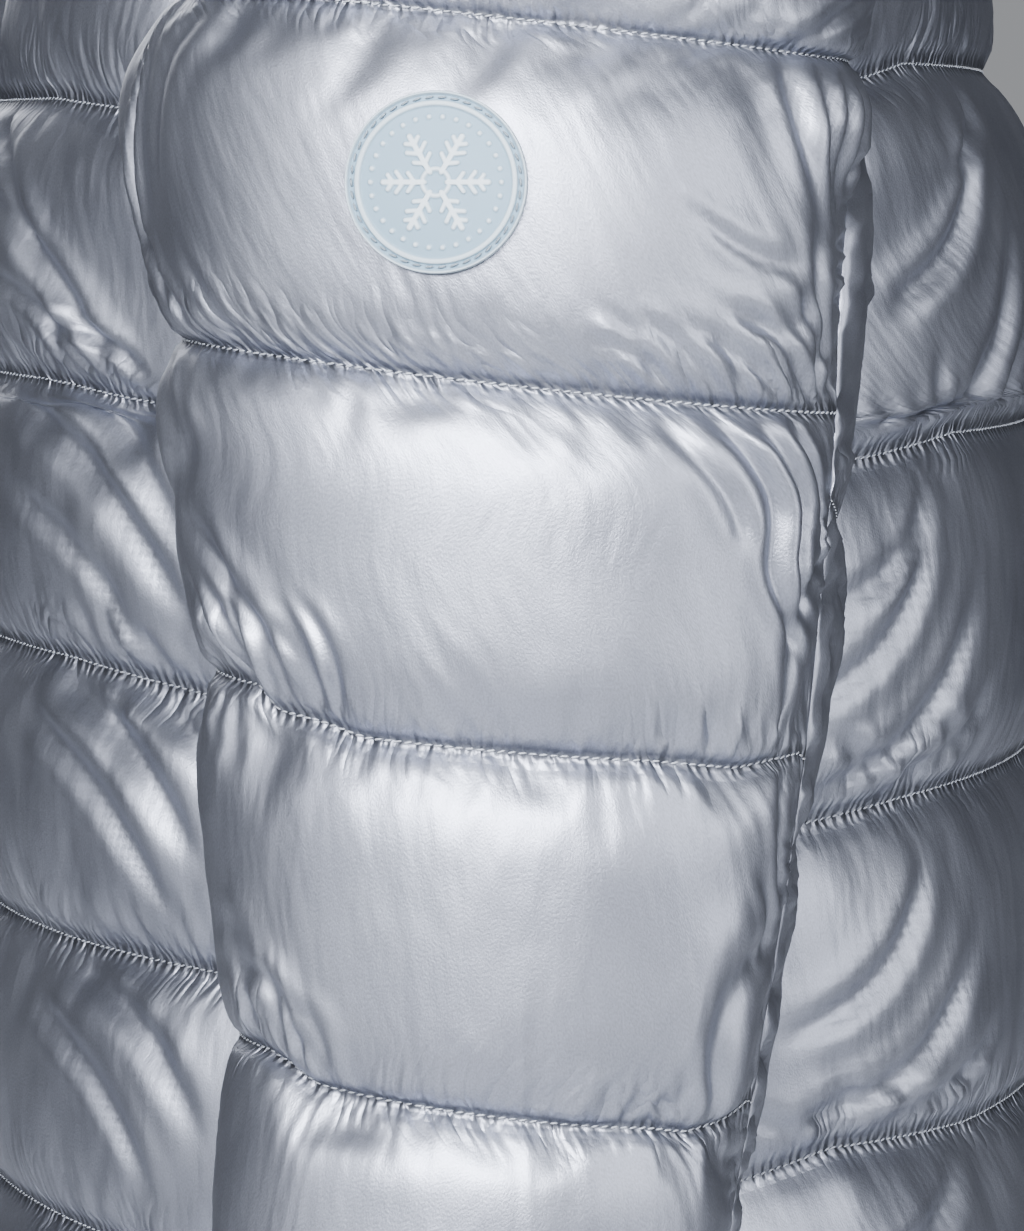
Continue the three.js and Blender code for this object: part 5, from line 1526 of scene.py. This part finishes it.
class COAT_OT_quilted_panels(bpy.types.Operator):
    """Make the fronts, back, sleeves and collar as filled satin panels"""
    bl_idname = "coat.quilted_panels"
    bl_label = "Quilted Panels"

    def execute(self, context):
        settings = context.scene.coat_settings
        cell = settings.cell
        panels = {
            "front": (torso_panel("front", 78), cell * 1.5),
            "back": (whole_back(torso_panel("back", 60)), cell * 1.65),
            "sleeve_top": (top_sleeve_panel(108), cell),
            "sleeve_under": (under_sleeve_panel(46), cell * 1.3),
            "collar": (collar_panel(92), cell * 1.2),
        }
        coarse = {key: refined_panel(panel, width, key) for key, (panel, width) in panels.items()}
        shapes = filled(coarse, settings)
        satin = satin_nylon(settings)
        thread = polyester_thread(settings)
        stitch = stitch_shape()
        made = [
            ("quilted_front_left", "front_left", "front", False, FINE),
            ("quilted_front_right", "front_right", "front", True, FAR_SIDE),
            ("quilted_back", "back", "back", False, FINE),
            ("quilted_top_sleeve_left", "sleeve_left_top", "sleeve_top", False, FINE),
            ("quilted_top_sleeve_right", "sleeve_right_top", "sleeve_top", True, FAR_SIDE),
            ("quilted_under_sleeve_left", "sleeve_left_under", "sleeve_under", False, FINE),
            ("quilted_under_sleeve_right", "sleeve_right_under", "sleeve_under", True, FAR_SIDE),
            ("quilted_collar", "collar", "collar", False, FINE),
        ]
        for name, node, key, flip, factors in made:
            panel = coarse[key]
            rng = np.random.default_rng(5)
            shape = limited(panel, shapes[key], settings)
            fine = folded(doubled(shape, factors), panel, factors, key)
            fine = tucked(fine, panel, factors, rng, settings)
            PIECES[name] = fine
            piece = wall_object(name, fine, panel, factors, flip)
            piece.data.materials.append(satin)
            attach(piece, BODY)
            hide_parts(node)
            frames = []
            normal = unit(doubled(panel["normal"], factors))
            channel = fine_channel(panel, factors, len(normal))
            for r in np.nonzero(on_line(channel))[0]:
                if 0 < r < len(normal) - 1:
                    frames.append(stitch_frames(fine[r], normal[r], settings, rng))
            frames = np.concatenate(frames)
            if flip:
                frames = mirrored(frames)
            sewing = repeated("stitches_" + node, stitch, frames, thread)
            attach(sewing, BODY)
        return {"FINISHED"}


def segment_distance(p, a, b):
    a, b = np.array(a, float), np.array(b, float)
    t = np.clip(((p - a) @ (b - a)) / ((b - a) @ (b - a)), 0, 1)
    return np.linalg.norm(p - (a + t[..., None] * (b - a)), axis=-1)


def step_up(distance, soft=0.16):
    return smooth(0.5 - distance / (2 * soft))


def bend_terms(y, z):
    """Terms of a curved surface whose x follows from y and z."""
    return np.stack([np.ones_like(y), y, z, y * y, y * z, z * z], -1)


def bend_normal(bend, y, z):
    slope_y = bend[1] + 2 * bend[3] * y + bend[4] * z
    slope_z = bend[2] + bend[4] * y + 2 * bend[5] * z
    return unit(np.stack([np.ones_like(y), -slope_y, -slope_z], -1))


def badge_relief(p):
    """Height and colour share of the badge's face: a six-armed frost star inside a ring of dots."""
    radius = np.linalg.norm(p, axis=-1)
    turn = np.arctan2(p[..., 1], p[..., 0])
    sector = (turn + math.pi / 6) % (math.pi / 3) - math.pi / 6
    q = np.stack([radius * np.cos(sector), np.abs(radius * np.sin(sector))], -1)
    star = segment_distance(q, (STAR_ARM[0], 0), (STAR_ARM[1], 0)) - 0.62
    for at, reach in STAR_BRANCHES:
        tip = (at + reach * math.cos(STAR_BRANCH_TURN), reach * math.sin(STAR_BRANCH_TURN))
        star = np.minimum(star, segment_distance(q, (at, 0), tip) - 0.5)
    star = np.minimum(star, np.abs(radius - STAR_HUB_RADIUS) - 0.45)
    dot_turn = (turn + math.pi / DOTS) % (TURN / DOTS) - math.pi / DOTS
    dots = np.hypot(radius * np.cos(dot_turn) - DOTS_RADIUS, radius * np.sin(dot_turn)) - 0.52
    mark = step_up(np.minimum(star, dots))
    inner_rim = step_up(np.abs(radius - INNER_RIM_RADIUS) - 0.55)
    outer_rim = step_up(OUTER_RIM_START - radius, 0.25)
    rounded = 1 - np.clip((radius - 19.2) / 0.8, 0, 1) ** 2.5
    height = BADGE_FACE + 0.55 * mark + 0.75 * inner_rim + 1.05 * outer_rim * rounded
    height = height - 0.6 * np.clip((radius - BADGE_EDGE) / 0.4, 0, 1) ** 2
    return height, np.maximum(mark, np.maximum(inner_rim, outer_rim) * 0.75)


class COAT_OT_badge(bpy.types.Operator):
    """Mould the round rubber badge and sew it on the left sleeve"""
    bl_idname = "coat.badge"
    bl_label = "Sleeve Badge"

    def execute(self, context):
        settings = context.scene.coat_settings
        low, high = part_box("sleeve_badge")
        centre = (np.array(low) + np.array(high)) / 2 / MM
        radius = (high[2] - low[2]) / 2 / MM
        sleeve = PIECES["quilted_top_sleeve_left"]
        cloud = sleeve[sleeve[..., 0] > OUTER_SIDE_X]
        near = cloud[np.hypot(cloud[:, 1] - centre[1], cloud[:, 2] - centre[2]) < radius + 4]
        terms = bend_terms(near[:, 1] - centre[1], near[:, 2] - centre[2])
        bend, *_ = np.linalg.lstsq(terms, near[:, 0], rcond=None)
        lift = np.percentile(near[:, 0] - terms @ bend, 97)
        rings = BADGE_RINGS
        bpy.ops.object.select_all(action="DESELECT")
        bpy.ops.mesh.primitive_grid_add(x_subdivisions=BADGE_SECTORS, y_subdivisions=rings + 3, size=1)
        obj = context.object
        obj.name = "moulded_badge"
        mesh = obj.data
        flat = mesh_points(mesh)
        turn = (flat[:, 0] + 0.5) * 2 * math.pi
        ring = np.round((flat[:, 1] + 0.5) * (rings + 3)).astype(int)
        front = ring <= rings
        share = np.clip(ring / rings, 0, 1)
        r = np.where(front, radius * share ** 0.85, radius * (1 - (ring - rings) / 3))
        r = np.maximum(r, 0.02)
        p = np.stack([-r * np.cos(turn), r * np.sin(turn)], -1)
        height, relief = badge_relief(p)
        height = np.where(front, height, 0.05)
        y, z = p[:, 0], p[:, 1]
        surface = bend_terms(y, z) @ bend + lift
        normal = bend_normal(bend, y, z)
        points = np.stack([surface, y + centre[1], z + centre[2]], -1) + normal * height[:, None]
        mesh.vertices.foreach_set("co", (points * MM).ravel())
        layer = mesh.attributes.new("relief", "FLOAT", "POINT")
        layer.data.foreach_set("value", np.where(front, relief, 0))
        mesh.update()
        select_only(obj)
        bpy.ops.object.mode_set(mode="EDIT")
        bpy.ops.mesh.select_all(action="SELECT")
        bpy.ops.mesh.remove_doubles(threshold=0.00003)
        bpy.ops.mesh.normals_make_consistent(inside=False)
        bpy.ops.object.mode_set(mode="OBJECT")
        mesh.shade_smooth()
        mesh.materials.append(moulded_rubber(settings))
        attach(obj, BODY)
        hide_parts("sleeve_badge")
        frames = []
        lean = math.radians(9)
        for k in range(BADGE_STITCHES):
            a = TURN * k / BADGE_STITCHES
            y, z = BADGE_SEAM_RADIUS * math.cos(a), BADGE_SEAM_RADIUS * math.sin(a)
            x = float(bend_terms(y, z) @ bend) + lift
            out = bend_normal(bend, y, z)
            along = unit(np.cross(out, np.array([0, y, z])))
            across = unit(np.cross(out, along))
            way = along * math.cos(lean) + across * math.sin(lean)
            side = unit(np.cross(out, way))
            place = np.array([x, y + centre[1], z + centre[2]]) + out * 1.5
            frames.append([place, way * 2.15, side * 0.62, out * 0.6])
        thread = bpy.data.materials["polyester_thread"].copy()
        thread.name = "grey_polyester_thread"
        thread.node_tree.nodes["Principled BSDF"].inputs["Base Color"].default_value = linear("#8C96A0")
        sewing = repeated("badge_stitches", stitch_shape(), np.array(frames) * MM, thread)
        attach(sewing, BODY)
        return {"FINISHED"}


def tooth_shape():
    """One moulded tooth, 1 unit for each millimetre: a block with bevelled edges."""
    bpy.ops.object.select_all(action="DESELECT")
    bpy.ops.mesh.primitive_cube_add(size=1)
    obj = bpy.context.object
    bpy.ops.object.mode_set(mode="EDIT")
    bpy.ops.mesh.select_all(action="SELECT")
    bpy.ops.transform.resize(value=(2.9, 2.9, 1.35))
    bpy.ops.mesh.bevel(offset=0.28, segments=1, affect="EDGES")
    bpy.ops.object.mode_set(mode="OBJECT")
    mesh = obj.data
    points = np.array([v.co[:] for v in mesh.vertices])
    faces = []
    for p in mesh.polygons:
        ids = list(p.vertices)
        for k in range(1, len(ids) - 1, 2):
            faces.append(tuple(ids[:1] + ids[k:k + 3]))
    bpy.data.objects.remove(obj)
    bpy.data.meshes.remove(mesh)
    return points, faces


class COAT_OT_zip(bpy.types.Operator):
    """Finish the zip: woven tapes, moulded teeth, plated slider and pull"""
    bl_idname = "coat.zip"
    bl_label = "Zip"

    def execute(self, context):
        tape, metal = woven_tape(), plated_zinc()
        finishes = {"zip_tape_left": tape, "zip_tape_right": tape, "zip_slider": metal, "zip_pull": metal}
        for node, material in finishes.items():
            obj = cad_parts[node]
            obj.data.materials.clear()
            obj.data.materials.append(material)
        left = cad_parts["zip_tape_left"].data
        points = np.array([v.co[:] for v in left.vertices]) / MM
        inner = points[np.abs(points[:, 0] - np.min(np.abs(points[:, 0]))) < 0.1]
        order = inner[np.argsort(inner[:, 2])]
        keys = np.unique(np.round(order[:, 2], 0))
        line = []
        for z in keys:
            here = order[np.abs(order[:, 2] - z) < 0.8]
            line.append([0, float(np.min(here[:, 1])), z])
        line = np.array(line)
        reach = line_reach(line)
        slider_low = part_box("zip_slider")[0][2] / MM
        teeth = tooth_shape()
        material = acetal_teeth()
        for side, name in ((1, "zip_teeth_left"), (-1, "zip_teeth_right")):
            at = np.arange(TOOTH_PITCH * (1.5 if side > 0 else 1.0), reach[-1] - 1, TOOTH_PITCH)
            place = along_line(at, reach, line)
            along = unit(along_line(at + 2, reach, line) - along_line(at - 2, reach, line))
            out = unit(np.stack([along[:, 0], -along[:, 2], along[:, 1]], -1))
            right = np.tile([1.0, 0, 0], (len(at), 1))
            centre = place + right * side * 1.15 - out * 1.25
            frames = np.stack([centre, right, out, along], 1)
            frames = frames[place[:, 2] < slider_low - 1]
            obj = repeated(name, teeth, frames * MM, material)
            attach(obj, BODY)
        return {"FINISHED"}


class COAT_OT_stage(bpy.types.Operator):
    """Place the camera, the soft lights and the pale floor"""
    bl_idname = "coat.stage"
    bl_label = "Studio Stage"

    def execute(self, context):
        scene = context.scene
        camera = bpy.data.cameras.new("camera")
        camera.lens = CAMERA_LENS
        eye = bpy.data.objects.new("camera", camera)
        eye.location = CAMERA_PLACE
        eye.rotation_euler = (math.radians(90 - CAMERA_DIP), 0, math.radians(90))
        scene.collection.objects.link(eye)
        scene.camera = eye
        scene.view_settings.look = "AgX - High Contrast"
        bpy.ops.object.select_all(action="DESELECT")
        bpy.ops.mesh.primitive_plane_add(size=14, location=(0, 0, 0))
        floor = context.object
        floor.name = "floor"
        floor.data.transform(floor.matrix_world)
        for vertex in floor.data.vertices:
            vertex.co.z = FLOOR_Z
        floor.data.materials.append(painted_plaster())
        for light in LIGHTS:
            self.area(*light)
        world = bpy.data.worlds.new("studio")
        scene.world = world
        world.use_nodes = True
        # The room is dim where it lights the satin, and a plain grey where it is seen behind the coat
        path = add_node(world.node_tree, "ShaderNodeLightPath")
        room = mixed(
            world.node_tree, [("Factor", path.outputs["Is Camera Ray"])], in_A=ROOM_LIGHT, in_B=ROOM_SEEN)
        background = world.node_tree.nodes["Background"]
        world.node_tree.links.new(room, background.inputs["Color"])
        background.inputs["Strength"].default_value = 1.0
        return {"FINISHED"}

    def area(self, name, place, aim, width, height, power):
        light = bpy.data.lights.new(name, "AREA")
        light.shape = "RECTANGLE"
        light.size = width
        light.size_y = height
        light.energy = power
        obj = bpy.data.objects.new(name, light)
        obj.location = place
        obj.rotation_euler = (Vector(aim) - Vector(place)).to_track_quat("-Z", "Y").to_euler()
        bpy.context.scene.collection.objects.link(obj)


class COAT_PT_sidebar(bpy.types.Panel):
    """Sizes and steps of the coat"""
    bl_label = "Long Puffer Coat"
    bl_idname = "COAT_PT_sidebar"
    bl_space_type = "VIEW_3D"
    bl_region_type = "UI"
    bl_category = "Coat"

    def draw(self, context):
        column = self.layout.column()
        for name in CoatSettings.__annotations__:
            column.prop(context.scene.coat_settings, name)
        for step in STEPS:
            column.operator(step.bl_idname)


STEPS = (COAT_OT_stage, COAT_OT_quilted_panels, COAT_OT_badge, COAT_OT_zip)
CLASSES = (CoatSettings,) + STEPS + (COAT_PT_sidebar,)


def register():
    for cls in CLASSES:
        bpy.utils.register_class(cls)
    bpy.types.Scene.coat_settings = bpy.props.PointerProperty(type=CoatSettings)


def unregister():
    del bpy.types.Scene.coat_settings
    for cls in reversed(CLASSES):
        bpy.utils.unregister_class(cls)


def main():
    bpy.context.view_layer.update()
    register()
    bpy.ops.coat.stage()
    bpy.ops.coat.quilted_panels()
    bpy.ops.coat.badge()
    bpy.ops.coat.zip()


if __name__ == "__main__":
    main()
